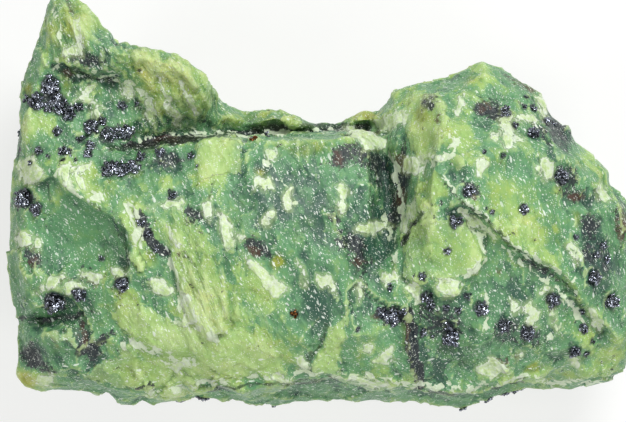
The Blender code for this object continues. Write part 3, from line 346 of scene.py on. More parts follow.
def colour(name, description, text):
    settings = {"subtype": "COLOR", "size": 3, "min": 0.0, "max": 1.0, "default": srgb(text)}
    return FloatVectorProperty(name=name, description=description, **settings)


def length(name, description, metres):
    settings = {"unit": "LENGTH", "min": 0.0, "precision": 5, "default": metres}
    return FloatProperty(name=name, description=description, **settings)


def amount(name, description, default):
    return FloatProperty(name=name, description=description, default=default, min=0.0)


def whole_number(name, description, default, low=0):
    return IntProperty(name=name, description=description, default=default, min=low)


class StoneShape(bpy.types.PropertyGroup):
    """Sizes of the stone's surface relief."""

    mesh_size: length("Mesh size", "Width of one face of the stone's surface", 0.333 * MM)
    rough: amount("Chips", "Strength of the broken chips", 0.75)
    fine: amount("Small chips", "Strength of the smallest chips", 0.35)
    streaks: length("Streaks", "Height of the fibrous streaks", 0.42 * MM)
    seed: whole_number("Seed", "Changes the sides that carry no placed feature", 5)


class StoneColours(bpy.types.PropertyGroup):
    """Colours of the stone."""

    deep: colour("Deep green", "Green of the thick, dark ground", "2a5442")
    middle: colour("Green", "Green of the ordinary ground", "639a68")
    light: colour("Yellow-green", "Green of the light ground", "9dc26c")
    bright: colour("Lime", "Brightest ground", "c9e09a")
    pale: colour("Flakes", "Thin pale flakes", "d7e5c6")
    fleck: colour("Flecks", "White flecks", "eaf3e6")
    dark: colour("Clouds", "Clouds of fine magnetite", "19242a")
    rust: colour("Rust", "Rust stains", "4f3524")
    olive: colour("Olive", "Olive-yellow spots", "98a02a")
    warm: colour("Warm", "Tint of the ground round the olive spots", "ffe08c")


class GrainLook(bpy.types.PropertyGroup):
    """The magnetite grains."""

    metal: colour("Metal", "Colour of the magnetite", "9a9fab")
    rusty: colour("Rusty", "Colour of the two weathered grains", "7a5230")
    lumps: whole_number("Crystals", "Crystals in an ordinary grain", 14, low=1)
    hidden: whole_number("Other sides", "Clusters on the sides and the back", 46)
    seed: whole_number("Seed", "Changes how the crystals lie", 11)


class StageLook(bpy.types.PropertyGroup):
    """The floor, the lights and the camera."""

    distance: length("Camera distance", "Height of the camera", 0.8)
    floor: colour("Floor", "Colour of the floor", "f2f2f1")
    sky: amount("Fill", "Strength of the even light", 0.21)
    key: amount("Key light", "Power of the main light in watts", 3.1)
    left: amount("Left light", "Power of the left light in watts", 0.8)
    right: amount("Right light", "Power of the right light in watts", 1.3)


GROUPS = {
    "stone_shape": StoneShape,
    "stone_colours": StoneColours,
    "stone_grains": GrainLook,
    "stone_stage": StageLook,
}


# ---------------------------------------------------------------- fields over the surface


def smooth_step(low, high, value):
    share = np.clip((value - low) / (high - low), 0.0, 1.0)
    return share * share * (3.0 - 2.0 * share)


def chipped(places, span, seed, scoop, lean, drop):
    """Height of a surface broken into chips about as wide as the span, each a shallow scoop.

    The scoop is its depth, the lean its slope and the drop its step down to the next, all as shares
    of the span. Every chip takes its own share of the last two.
    """
    shift = Vector((seed * 3.7, seed * 5.9, seed * 7.3))
    away = np.empty((len(places), 3))
    chance = np.empty((len(places), 3))
    for number, place in enumerate(places):
        point = Vector(place) / span + shift
        middle = noise.voronoi(point)[1][0]
        away[number] = point - middle
        chance[number] = noise.cell_vector(middle * 31.7)
    chance = chance * 2.0 - 1.0
    bowl = 4.0 * scoop * np.minimum(np.einsum("ij,ij->i", away, away), 0.5)
    slope = lean * np.einsum("ij,ij->i", away, chance)
    return span * (bowl + slope + drop * chance[:, 0])


def noise_over(places, span, seed):
    """Smooth noise at each place, about -0.6 to 0.6, with features about as wide as the span."""
    shift = Vector((seed * 17.31, seed * 5.17, seed * 9.73))
    return np.array([noise.noise(Vector(place) / span + shift) for place in places])


def turned(x, y, patch):
    """Distances along and across a patch, as shares of its half length and half width."""
    centre_x, centre_y, half_length, half_width, turn = patch[:5]
    cosine, sine = math.cos(math.radians(turn)), math.sin(math.radians(turn))
    along = (x - centre_x) * cosine + (y - centre_y) * sine
    across = (y - centre_y) * cosine - (x - centre_x) * sine
    return along / half_length, across / half_width


def patch_strength(away):
    """Strength of a soft patch by distance in shares of its size: full in the middle, gone at 1.4."""
    return 1.0 - smooth_step(0.25, 1.4, away)


def soft_patches(x, y, patches):
    """Sum of soft patches, each with its own strength."""
    total = np.zeros(len(x))
    for patch in patches:
        total += patch[5] * patch_strength(np.hypot(*turned(x, y, patch)))
    return total


def shards(flakes, seed):
    """An angular outline for each flake, with the height it lifts by."""
    draw = random.Random(seed)
    outlines = []
    for centre_x, centre_y, half_length, half_width, turn, lift in flakes:
        cosine, sine = math.cos(math.radians(turn)), math.sin(math.radians(turn))
        count = draw.randint(5, 7)
        corners = []
        for number in range(count):
            angle = math.tau * (number + draw.uniform(-0.35, 0.35)) / count
            reach = SHARD_REACH * draw.uniform(0.6, 1.35)
            along = reach * half_length * math.cos(angle)
            across = reach * half_width * math.sin(angle)
            corner_x = centre_x + along * cosine - across * sine
            corner_y = centre_y + along * sine + across * cosine
            corners.append((corner_x, corner_y))
        outlines.append((lift, tuple(corners)))
    return tuple(outlines)


def segment_distance(x, y, start, end):
    """Distance from the straight line between two points."""
    (ax, ay), (bx, by) = start, end
    dx, dy = bx - ax, by - ay
    share = np.clip(((x - ax) * dx + (y - ay) * dy) / (dx * dx + dy * dy), 0.0, 1.0)
    return np.hypot(x - ax - share * dx, y - ay - share * dy)


def line_distance(x, y, points):
    """Distance from a line through the points."""
    return np.minimum.reduce([segment_distance(x, y, *ends) for ends in zip(points, points[1:])])


def outline_depth(x, y, corners):
    """Distance inside a closed outline, below zero outside it."""
    closed = corners + corners[:1]
    inside = np.zeros(len(x), dtype=bool)
    for (ax, ay), (bx, by) in zip(closed, closed[1:]):
        if ay != by:
            crosses = (ay > y) != (by > y)
            inside ^= crosses & (x < ax + (y - ay) * (bx - ax) / (by - ay))
    nearest = line_distance(x, y, closed)
    return np.where(inside, nearest, -nearest)


def near_box(x, y, corners):
    """Whether each place is near enough to an outline for its distance to matter."""
    low_x, low_y = (min(corner[axis] for corner in corners) - OUTLINE_REACH for axis in (0, 1))
    high_x, high_y = (max(corner[axis] for corner in corners) + OUTLINE_REACH for axis in (0, 1))
    return (x > low_x) & (x < high_x) & (y > low_y) & (y < high_y)


def outlined(x, y, outlines):
    """(distance inside the nearest flake in mm, below zero outside, and the height it lifts by)."""
    inside = np.full(len(x), -OUTLINE_REACH)
    lift = np.zeros(len(x))
    for height, corners in outlines:
        near = np.flatnonzero(near_box(x, y, corners))
        depth = outline_depth(x[near], y[near], corners)
        inside[near] = np.maximum(inside[near], depth)
        lift[near] = np.maximum(lift[near], height * smooth_step(-0.12, 0.12, depth))
    return inside, lift


def line_strength(x, y, lines):
    """How strongly the lines show at each place."""
    strongest = np.zeros(len(x))
    for half_width, strength, points in lines:
        away = line_distance(x, y, points) / half_width
        strongest = np.maximum(strongest, strength * (1.0 - smooth_step(0.4, 1.5, away)))
    return strongest


def strip_strength(x, y, strips):
    """How strongly the streaks show at each place."""
    strongest = np.zeros(len(x))
    for start, end, half_width, strength in strips:
        away = segment_distance(x, y, start, end) / half_width
        strongest = np.maximum(strongest, strength * (1.0 - smooth_step(0.5, 1.2, away)))
    return strongest


def scattered(places, chosen, middles, radius_low, radius_high, seed):
    """Soft round patches at random places of the surface, for the sides that carry no placed ones."""
    draw = random.Random(seed)
    strongest = np.zeros(len(places))
    for _ in range(middles):
        middle = places[draw.choice(chosen)]
        radius = draw.uniform(radius_low, radius_high)
        stretch = np.array([draw.uniform(0.6, 1.6) for _ in range(3)])
        away = np.linalg.norm((places - middle) * stretch, axis=1) / radius
        strongest = np.maximum(strongest, patch_strength(away))
    return strongest


# ---------------------------------------------------------------- the stone


def bmesh_of(name):
    """A merged copy of a packed node's mesh."""
    bm = bmesh.new()
    bm.from_mesh(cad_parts[name].data)
    bmesh.ops.remove_doubles(bm, verts=bm.verts, dist=MERGE)
    return bm


def new_piece(name, bm, material):
    mesh = bpy.data.meshes.new(name)
    bm.to_mesh(mesh)
    bm.free()
    mesh.materials.append(material)
    piece = bpy.data.objects.new(name, mesh)
    bpy.context.scene.collection.objects.link(piece)
    return piece


def apply_modifiers(piece):
    """Keeps the shape that the piece's modifiers make, and drops them."""
    graph = bpy.context.evaluated_depsgraph_get()
    mesh = bpy.data.meshes.new_from_object(piece.evaluated_get(graph))
    piece.modifiers.clear()
    piece.data = mesh


def arrays_of(mesh):
    """(places in mm, normals) of the mesh's points, with the places as the stone was drawn."""
    count = len(mesh.vertices)
    places = np.empty(count * 3)
    normals = np.empty(count * 3)
    mesh.vertices.foreach_get("co", places)
    mesh.vertex_normals.foreach_get("vector", normals)
    places = places.reshape(-1, 3) / MM + np.array((*MIDDLE, 0.0))
    return places, normals.reshape(-1, 3)


def bed_heights(tree, grains):
    """Height of the ground round each grain, measured just outside it."""
    heights = []
    for x, y, radius in grains:
        found = []
        for step in range(8):
            angle = step * math.tau / 8
            reach = max(1.6 * radius, 0.6)
            start_x = x - MIDDLE[0] + reach * math.cos(angle)
            start_y = y - MIDDLE[1] + reach * math.sin(angle)
            landed = tree.ray_cast(Vector((start_x, start_y, RAY_HEIGHT)) * MM, DOWN)[0]
            if landed:
                found.append(landed.z / MM)
        heights.append(sorted(found)[len(found) // 2])
    return heights


def smooth_away_lumps(places, grains, heights):
    """Levels the packed solid's lumps, whose place the modelled grains take."""
    for (x, y, radius), height in zip(grains, heights):
        away = np.hypot(places[:, 0] - x, places[:, 1] - y) / (1.35 * radius)
        hold = (1.0 - smooth_step(0.8, 1.2, away)) * (np.abs(places[:, 2] - height) < 2.2 * radius)
        places[:, 2] += hold * np.minimum(height - 0.1 * radius - places[:, 2], 0.0)


def neighbour_means(mesh, values):
    """Mean of the values at the points that share an edge with each point."""
    edges = np.empty(len(mesh.edges) * 2, dtype=np.int32)
    mesh.edges.foreach_get("vertices", edges)
    edges = edges.reshape(-1, 2)
    here, there = edges.ravel(), edges[:, ::-1].ravel()
    count = np.bincount(here, minlength=len(values))
    totals = [np.bincount(here, column[there], len(values)) for column in values.T]
    return np.stack(totals, axis=1) / count[:, None]


def spread(mesh, values, rounds):
    for _ in range(rounds):
        values = 0.5 * values + 0.5 * neighbour_means(mesh, values)
    return values


def bulge_of(mesh, places, normals, rounds):
    """How far each point stands out of the smoothed surface, in mm. Edges are above 0, grooves below."""
    return np.einsum("ij,ij->i", places - spread(mesh, places, rounds), normals)


def paint(mesh, name, values):
    attribute = mesh.attributes.new(name, "FLOAT", "POINT")
    attribute.data.foreach_set("value", values.astype(np.float32))


def stone_fields(places, normals, seed):
    """Every painted field of the stone, and the height that its flakes lift by."""
    x, y = (
        places[:, axis] + (noise_over(places, 1.3, axis + 1) * 0.35 + noise_over(places, 0.5, axis + 3) * 0.2)
        for axis in (0, 1)
    )
    upper = smooth_step(-0.25, 0.1, normals[:, 2]) * smooth_step(2.0, 4.0, places[:, 2])
    hidden = [int(i) for i in np.flatnonzero(upper < 0.3)]

    def mixed(placed, other):
        return upper * placed + (1.0 - upper) * other

    def random_patches(step, count, radius_low, radius_high):
        return scattered(places, hidden, count, radius_low, radius_high, seed + step)

    pale, pale_lift = outlined(x, y, PALE_OUTLINES + shards(PALE_FLAKES, seed + 9))
    lime, lime_lift = outlined(x, y, LIME_OUTLINES)
    scattered_pale = random_patches(1, 120, 0.5, 1.6)
    random_light = random_patches(2, 26, 3.0, 8.0) - random_patches(3, 22, 3.0, 8.0)
    dark = soft_patches(x, y, DARK_PATCHES) + line_strength(x, y, BLACK_LINES)
    fields = {
        "light": mixed(soft_patches(x, y, LIGHT_PATCHES), random_light),
        "line": mixed(line_strength(x, y, PALE_LINES), 0.0),
        "shade": mixed(line_strength(x, y, DARK_LINES), 0.0),
        "dark": mixed(dark, 1.1 * random_patches(4, 44, 0.9, 2.6)),
        "rust": mixed(soft_patches(x, y, RUST_PATCHES), random_patches(5, 26, 0.6, 1.8)),
        "olive": mixed(soft_patches(x, y, OLIVE_PATCHES), random_patches(6, 18, 0.8, 2.0)),
        "pale": mixed(pale, 1.4 * scattered_pale - 0.9),
        "lime": mixed(lime, -OUTLINE_REACH),
        "streaked": mixed(strip_strength(x, y, STREAKED), random_patches(7, 14, 4.0, 7.0)),
        "smooth": mixed(soft_patches(x, y, SMOOTH_PATCHES), random_patches(8, 16, 3.0, 6.0)),
        "lying": smooth_step(*LYING, y) * upper,
    }
    lift = mixed(0.35 * np.maximum(pale_lift, 2.0 * lime_lift), 0.1 * smooth_step(0.55, 0.75, scattered_pale))
    return fields, lift


def grain_halo(places, grains, heights):
    """1 under and round the grains, falling to 0 just outside them."""
    halo = np.zeros(len(places))
    for (x, y, radius), height in zip(grains, heights):
        away = np.linalg.norm(places - np.array((x, y, height)), axis=1) / radius
        halo = np.maximum(halo, 1.0 - smooth_step(0.95, 1.3, away))
    return halo


def stone_relief(places, shape, fields):
    """Height in mm that the broken surface adds at each point."""
    turn = math.radians(STREAK_TURN)
    along = places[:, 0] * math.cos(turn) + places[:, 1] * math.sin(turn)
    across = places[:, 1] * math.cos(turn) - places[:, 0] * math.sin(turn)
    laid = np.stack([along / 1.7, across, places[:, 2]], axis=1)
    bent = laid + np.stack([noise_over(laid, 1.4, n) for n in (11, 12, 13)], axis=1) * 0.8
    rough = chipped(bent, 5.2, 1, 0.03, 0.10, 0.012) + chipped(bent, 2.3, 2, 0.04, 0.11, 0.02)
    fine = chipped(bent, 1.1, 3, 0.04, 0.09, 0.02)
    ribs = noise_over(np.stack([along / 7.0, across, places[:, 2] * 0.4], axis=1), 0.6, 41)
    calm = 1.0 - 0.75 * np.clip(fields["smooth"], 0.0, 1.0)
    calm *= 1.0 - 0.5 * np.clip(fields["streaked"], 0.0, 1.0)
    height = shape.rough * (rough - rough.mean()) + shape.fine * (fine - fine.mean())
    return calm * height + shape.streaks / MM * ribs * (0.04 + fields["streaked"])


def lay_relief(piece, shape):
    """Moves the surface out by the relief and paints it. The flat base stays flat."""
    mesh = piece.data
    tree = BVHTree.FromObject(piece, bpy.context.evaluated_depsgraph_get())
    grains = GRAINS + RUSTY_GRAINS
    heights = bed_heights(tree, grains)
    places, normals = arrays_of(mesh)
    smooth_away_lumps(places, grains, heights)
    fields, lift = stone_fields(places, normals, shape.seed)
    height = stone_relief(places, shape, fields) + lift
    broad = spread(mesh, normals, 4)
    broad /= np.linalg.norm(broad, axis=1)[:, None]
    above_base = smooth_step(0.1, 1.6, places[:, 2])
    places += broad * (height * above_base)[:, None]
    places[:, 2] = np.maximum(places[:, 2], 0.0)
    mesh.vertices.foreach_set("co", ((places - np.array((*MIDDLE, 0.0))) * MM).ravel())
    mesh.update()
    places, normals = arrays_of(mesh)
    fields["edge"] = bulge_of(mesh, places, normals, 4)
    # Over the wide span, the material turns this bulge into painted light on ridges and painted shade in
    # hollows.
    fields["ridge"] = bulge_of(mesh, places, normals, 40)
    fields["halo"] = grain_halo(places, grains, heights)
    for name, values in fields.items():
        paint(mesh, name, values)


# ---------------------------------------------------------------- materials


# How far noise bends the white splinters.
SPLINTER_BEND = 0.6


class Nodes:
    """Builds a material's nodes from short calls.

    A value is a number, a colour or another node's output.
    """

    def __init__(self, name):
        self.material = bpy.data.materials.new(name)
        self.material.use_nodes = True
        self.tree = self.material.node_tree
        self.shader = self.tree.nodes["Principled BSDF"]

    def put(self, socket, value):
        if isinstance(value, bpy.types.NodeSocket):
            self.tree.links.new(value, socket)
        elif hasattr(value, "__len__") and len(value) == 3 and len(socket.default_value) == 4:
            socket.default_value = (*value, 1.0)
        else:
            socket.default_value = value

    def make(self, kind, inputs=(), **settings):
        node = self.tree.nodes.new(kind)
        for name, value in settings.items():
            setattr(node, name, value)
        for name, value in dict(inputs).items():
            self.put(node.inputs[name], value)
        return node

    def math(self, operation, *values):
        """The operation on two values, then on that and the next, and so on."""
        result = values[0]
        for value in values[1:]:
            inputs = {0: result, 1: value}
            result = self.make("ShaderNodeMath", inputs, operation=operation).outputs[0]
        return result

    def times(self, *values):
        return self.math("MULTIPLY", *values)

    def total(self, *values):
        return self.math("ADD", *values)

    def wave(self, noise, amount):
        """Noise about 0, at most half the amount either way."""
        return self.times(self.math("SUBTRACT", noise, 0.5), amount)

    def step(self, value, low, high, to_low=0.0, to_high=1.0):
        inputs = {"Value": value, "From Min": low, "From Max": high, "To Min": to_low, "To Max": to_high}
        return self.make("ShaderNodeMapRange", inputs, interpolation_type="SMOOTHSTEP").outputs["Result"]

    def mix(self, share, first, second, blend="MIX"):
        node = self.make("ShaderNodeMix", data_type="RGBA", blend_type=blend)
        self.put(node.inputs[0], share)
        self.put(node.inputs[6], first)
        self.put(node.inputs[7], second)
        return node.outputs[2]

    def attribute(self, name):
        return self.make("ShaderNodeAttribute", attribute_name=name).outputs["Fac"]

    def mapped(self, vector, scale=(1, 1, 1), turn=0.0):
        inputs = {"Vector": vector, "Scale": scale, "Rotation": (0, 0, turn)}
        return self.make("ShaderNodeMapping", inputs).outputs["Vector"]

    def place(self):
        """Place on the piece, in mm."""
        here = self.make("ShaderNodeTexCoord").outputs["Object"]
        return self.mapped(here, scale=(1 / MM, 1 / MM, 1 / MM))

    def stretched(self, vector, turn, share):
        """The vector turned by degrees about Z and squeezed to the share, so that patterns run long."""
        return self.mapped(self.mapped(vector, turn=math.radians(turn)), scale=(share, 1, 1))

    def noise(self, vector, scale, detail=3.0, rough=0.55):
        inputs = {"Vector": vector, "Scale": scale, "Detail": detail, "Roughness": rough}
        return self.make("ShaderNodeTexNoise", inputs).outputs["Fac"]

    def cells(self, vector, scale):
        """Distance from the middle of the nearest cell, and three random values of that cell."""
        cell = self.make("ShaderNodeTexVoronoi", {"Vector": vector, "Scale": scale}).outputs
        return cell["Distance"], self.make("ShaderNodeSeparateColor", {"Color": cell["Color"]}).outputs

    def move(self, operation, vector, inputs):
        """The vector after a step of vector arithmetic."""
        return self.make("ShaderNodeVectorMath", {0: vector, **inputs}, operation=operation).outputs[0]

    def shifted(self, vector, scale, amount):
        """The vector moved about by noise, for ragged outlines."""
        inputs = {"Vector": vector, "Scale": scale, "Detail": 2.0}
        colour = self.make("ShaderNodeTexNoise", inputs).outputs["Color"]
        centred = self.move("SUBTRACT", colour, {1: (0.5, 0.5, 0.5)})
        return self.move("ADD", vector, {1: self.move("SCALE", centred, {"Scale": amount})})

    def flecks(self, vector, scale, share, size):
        """1 inside small splinters, which fill the share of a pattern's cells."""
        distance, chance = self.cells(vector, scale)
        radius = self.step(chance["Red"], 1.0 - share, 1.0, 0.0, size)
        return self.step(self.math("SUBTRACT", radius, distance), 0.0, 0.08)

    def splinters(self, vector):
        """White splinters in two sizes."""
        return self.math(
            "MAXIMUM",
            self.flecks(self.shifted(vector, 1.3, SPLINTER_BEND), 4.2, 0.5, 0.36),
            self.flecks(self.shifted(vector, 0.9, SPLINTER_BEND), 2.1, 0.16, 0.34),
        )

    def bump(self, height, distance):
        inputs = {"Strength": 1.0, "Distance": distance, "Height": height}
        return self.make("ShaderNodeBump", inputs).outputs["Normal"]

    def finished(self, inputs):
        """The material, once its surface has these inputs."""
        for name, value in inputs.items():
            self.put(self.shader.inputs[name], value)
        return self.material


def stone_material(colours):
    nodes = Nodes("serpentine_stone")
    attribute, mix, noise_at, step = nodes.attribute, nodes.mix, nodes.noise, nodes.step
    times, total, wave = nodes.times, nodes.total, nodes.wave
    place = nodes.place()
    bent = nodes.shifted(place, 0.8, 0.9)
    steep = nodes.stretched(place, -STREAK_TURN, 0.36)
    skew = nodes.stretched(place, -STREAK_TURN - 34, 0.4)
    lying = nodes.stretched(place, -12, 0.36)
    torn_place = nodes.stretched(bent, -STREAK_TURN, 0.5)
    dust = noise_at(place, 8.0, 3.0, 0.7)
    fine = noise_at(place, 3.2, 4.0, 0.65)
    middle = noise_at(place, 0.9, 4.0, 0.6)
    broad = noise_at(place, 0.22, 3.0, 0.5)
    fibres = noise_at(steep, 1.7, 4.0, 0.65)
    ribs = noise_at(nodes.mapped(steep, scale=(0.45, 1, 1)), 1.3, 4.0, 0.65)
    streaked = attribute("streaked")
    calm = step(attribute("smooth"), 0.0, 1.0, 1.0, 0.3)

    # Splinters of the ground: cells that are darker or lighter as a whole, with sharp broken edges.
    big_distance, big = nodes.cells(torn_place, 0.62)
    small_distance, small = nodes.cells(torn_place, 1.7)
    splinter = times(total(wave(big["Red"], 0.22), wave(small["Red"], 0.13)), calm)

    # Ground: deep green to lime, with painted light on broad ridges and painted shade in hollows.
    ground = total(
        times(attribute("light"), 0.44), wave(broad, 0.5), wave(middle, 0.4), wave(fibres, 0.32),
        wave(fine, 0.24), splinter, step(attribute("ridge"), -0.6, 0.6, 0.16, 0.62),
    )
    tint = mix(step(ground, 0.08, 0.46), colours.deep, colours.middle)
    tint = mix(step(ground, 0.44, 0.78), tint, colours.light)
    tint = mix(step(ground, 0.74, 1.12), tint, colours.bright)

    # Yellower ground, and olive spots in the middle of it.
    olive = total(attribute("olive"), wave(middle, 0.9), wave(broad, 0.8))
    tint = mix(step(olive, -0.1, 0.6, 0.0, 0.75), tint, colours.warm, "MULTIPLY")
    tint = mix(step(olive, 0.55, 1.1, 0.0, 0.8), tint, colours.olive)

    # Big lime flakes, palest along their broken edge.
    lime = total(attribute("lime"), total(wave(small["Green"], 0.7), wave(fine, 0.4)))
    lime_inside = step(lime, -0.03, 0.03)
    lime_rim = times(lime_inside, step(lime, 2.0, 0.1))
    tint = mix(times(lime_inside, 0.35), tint, colours.light)
    tint = mix(times(lime_rim, 0.25), tint, colours.bright)

    # Pale streaks in the fibrous parts.
    tint = mix(times(step(ribs, 0.5, 0.66), streaked, 0.6), tint, colours.bright)
    tint = mix(times(step(ribs, 0.46, 0.36), streaked, 0.28), tint, colours.middle, "MULTIPLY")

    # Clouds of fine magnetite: a soft darkening and crisp specks.
    cloud = total(attribute("dark"), wave(middle, 1.5), wave(fine, 1.0), wave(big["Green"], 0.35))
    tint = mix(step(cloud, 0.2, 1.15, 0.0, 0.88), tint, colours.dark)
    chance = nodes.cells(bent, 2.6)[1]["Red"]
    speck = step(total(cloud, times(chance, -1.0), wave(dust, 0.8)), 0.2, 0.35)
    tint = mix(times(speck, 0.85), tint, colours.dark)
    rust = total(attribute("rust"), wave(fine, 1.6), wave(small["Blue"], 0.5))
    tint = mix(step(rust, 0.4, 1.1, 0.0, 0.85), tint, colours.rust)

    # Thin edges let light through, so they are paler. Grooves are darkened with painted shade.
    edge = total(attribute("edge"), wave(fine, 0.06))
    tint = mix(step(edge, 0.03, 0.12, 0.0, 0.5), tint, colours.bright)
    # Painted shade in the grooves.
    tint = mix(step(edge, -0.03, -0.14, 0.0, 0.4), tint, colours.deep, "MULTIPLY")
    line = total(attribute("line"), wave(fine, 0.3), wave(small["Red"], 1.2))
    shade = total(attribute("shade"), wave(fine, 0.9), wave(fibres, 0.8))
    # Dark cracks and painted shade along the dark lines.
    tint = mix(step(shade, 0.3, 0.9, 0.0, 0.85), tint, colours.deep, "MULTIPLY")
    tint = mix(step(line, 0.62, 0.74, 0.0, 0.9), tint, colours.pale)

    # Pale flakes with crisp broken edges, whitest at the edge.
    torn = total(wave(small["Red"], 0.3), wave(fine, 0.35), wave(fibres, 0.4))
    pale = total(attribute("pale"), torn)
    pale_mask = step(pale, -0.02, 0.03)
    pale_body = mix(step(total(fine, wave(middle, 1.0)), 0.4, 0.6), colours.bright, colours.pale)
    pale_body = mix(step(pale, 0.25, 0.0, 0.0, 0.7), pale_body, colours.fleck)
    tint = mix(step(pale, -0.5, 0.0, 0.0, 0.35), tint, colours.bright)
    showing = step(total(middle, wave(fibres, 0.5)), 0.3, 0.55, 0.45, 0.95)
    tint = mix(times(pale_mask, showing), tint, pale_body)

    # White splinters in three sizes, lying flat along the front, and the finest dust.
    both = {0: attribute("lying"), 2: nodes.splinters(steep), 3: nodes.splinters(lying)}
    both = nodes.make("ShaderNodeMix", both, data_type="FLOAT").outputs[0]
    skewed = nodes.flecks(nodes.shifted(skew, 1.3, SPLINTER_BEND), 3.4, 0.3, 0.34)
    splinters = nodes.math("MAXIMUM", both, skewed)
    grit = nodes.flecks(nodes.mapped(steep, scale=(1.9, 1, 1)), 7.0, 0.75, 0.42)
    density = step(total(noise_at(place, 0.3, 3.0, 0.6), wave(middle, 0.3)), 0.3, 0.6, 0.55, 1.0)
    white = times(nodes.math("MAXIMUM", splinters, times(grit, 0.85)), density)
    tint = mix(times(white, 0.85), tint, colours.fleck)
    tint = mix(times(attribute("halo"), 0.9), tint, colours.dark)

    # Relief too fine for the mesh: small scoops with sharp ridges, in mm. The white splinters are left
    # out of it, because bump works out everything that it uses three times.
    scoops = total(
        times(big_distance, big_distance, 0.22), times(small_distance, small_distance, 0.09),
        wave(big["Red"], 0.09), wave(small["Red"], 0.045), wave(fine, 0.05), wave(fibres, 0.08),
    )
    relief = total(
        times(scoops, calm), wave(dust, 0.03), times(pale_mask, 0.14), times(lime_inside, 0.14),
        times(wave(ribs, 0.5), streaked), times(step(line, 0.3, 0.8), 0.04),
    )
    return nodes.finished({
        "Base Color": tint,
        "Roughness": step(total(fine, wave(dust, 0.5)), 0.3, 0.7, 0.28, 0.5),
        "Normal": nodes.bump(relief, 1.25 * MM),
        "IOR": 1.56,
        "Subsurface Weight": 0.12,
        "Subsurface Radius": (0.7, 1.0, 0.45),
        "Subsurface Scale": 0.6 * MM,
    })


def metal_material(name, tint):
    """Dark metal, a little bluer in some grains than in others."""
    nodes = Nodes(name)
    place = nodes.place()
    darker = tuple(channel * 0.4 for channel in tint)
    return nodes.finished({
        "Base Color": nodes.mix(nodes.step(nodes.noise(place, 1.1, 2.0), 0.35, 0.65), darker, tint),
        "Roughness": nodes.step(nodes.noise(place, 4.0), 0.3, 0.7, 0.1, 0.3),
        "Normal": nodes.bump(nodes.times(nodes.cells(place, 4.5)[0], 0.08), MM),
        "Metallic": 1.0,
    })


def floor_material(tint):
    """A white floor that glows a little, so that shadows on it stay faint."""
    return Nodes("floor").finished({
        "Base Color": tuple(channel * 0.3 for channel in tint),
        "Emission Color": tint,
        "Emission Strength": 0.8,
        "Roughness": 1.0,
        "Specular IOR Level": 0.0,
    })


# ---------------------------------------------------------------- the grains


def add_crystal(bm, middle, radius, draw):
    """One blocky crystal with uneven flat faces."""
    place = Matrix.Translation(middle) @ Matrix.Rotation(draw.uniform(0, math.tau), 4, "X")
    place = place @ Matrix.Rotation(draw.uniform(0, math.tau), 4, "Z")
    if draw.random() < 0.4:
        made = bmesh.ops.create_uvsphere(bm, u_segments=4, v_segments=2, radius=radius * 1.15, matrix=place)
    else:
        made = bmesh.ops.create_icosphere(bm, subdivisions=1, radius=radius, matrix=place)
    for vert in made["verts"]:
        vert.co = middle + (vert.co - middle) * draw.uniform(0.72, 1.18)


def grain_mesh(landed, facing, radius, lumps, draw):
    """A grain: a knot of crystals half sunk in the stone."""
    bm = bmesh.new()
    across = facing.orthogonal().normalized()
    along = facing.cross(across)
    count = max(1, round(lumps * min(1.3, radius / (0.6 * MM))))
    size = radius if count == 1 else radius * 0.42
    for number in range(count):
        angle = number * 2.4 + draw.uniform(-0.5, 0.5)
        share = math.sqrt(number / count)
        reach = radius * 1.05 * share * draw.uniform(0.85, 1.15)
        lift = radius * (0.26 * (1.0 - share * share) - 0.06 + draw.uniform(-0.1, 0.1))
        middle = landed + across * reach * math.cos(angle) + along * reach * math.sin(angle) + facing * lift
        add_crystal(bm, middle, size * draw.uniform(0.6, 1.25), draw)
    bmesh.ops.recalc_face_normals(bm, faces=bm.faces)
    mesh = bpy.data.meshes.new("grain")
    bm.to_mesh(mesh)
    bm.free()
    return mesh


def hidden_places(piece, clusters, draw):
    """Random grain places on the flanks and the back: (point, facing, radius in mm)."""
    faces = [
        face for face in piece.data.polygons
        if face.normal.z < 0.15 and HIDDEN_LOW < face.center.z / MM < HIDDEN_HIGH
    ]
    found = []
    for _ in range(clusters):
        middle = draw.choice(faces).center
        near = [face for face in faces if (face.center - middle).length < 3.0 * MM]
        for face in draw.sample(near, min(len(near), draw.randint(1, 6))):
            found.append((face.center.copy(), face.normal.copy(), draw.uniform(0.25, 0.8)))
    return found


def make_grains(name, places, lumps, seed, material):
    draw = random.Random(seed)
    bm = bmesh.new()
    for landed, facing, radius in places:
        grain = grain_mesh(landed, facing, radius * MM, lumps, draw)
        bm.from_mesh(grain)
        bpy.data.meshes.remove(grain)
    return new_piece(name, bm, material)


def placed_grains(piece, grains):
    tree = BVHTree.FromObject(piece, bpy.context.evaluated_depsgraph_get())
    found = []
    for x, y, radius in grains:
        start = Vector((x - MIDDLE[0], y - MIDDLE[1], RAY_HEIGHT)) * MM
        landed, facing, _, _ = tree.ray_cast(start, DOWN)
        if landed is None:
            # Just past the rim: the nearest point of the rim holds the grain.
            start.z = RIM_HEIGHT * MM
            landed, facing, _, _ = tree.find_nearest(start)
        facing = (facing + Vector((0, 0, 1))).normalized()
        found.append((landed, facing, radius))
    return found


# ---------------------------------------------------------------- operators


class OBJECT_OT_serpentine_stone(bpy.types.Operator):
    """Make the stone's broken surface over the packed solid"""

    bl_idname = "object.serpentine_stone"
    bl_label = "Stone"

    def execute(self, context):
        shape = context.scene.stone_shape
        piece = new_piece("stone", bmesh_of(NODE), stone_material(context.scene.stone_colours))
        remesh = piece.modifiers.new("Even mesh", "REMESH")
        remesh.mode = "VOXEL"
        remesh.voxel_size = shape.mesh_size
        apply_modifiers(piece)
        lay_relief(piece, shape)
        piece.data.shade_smooth()
        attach(piece, "root")
        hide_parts(NODE)
        return {"FINISHED"}


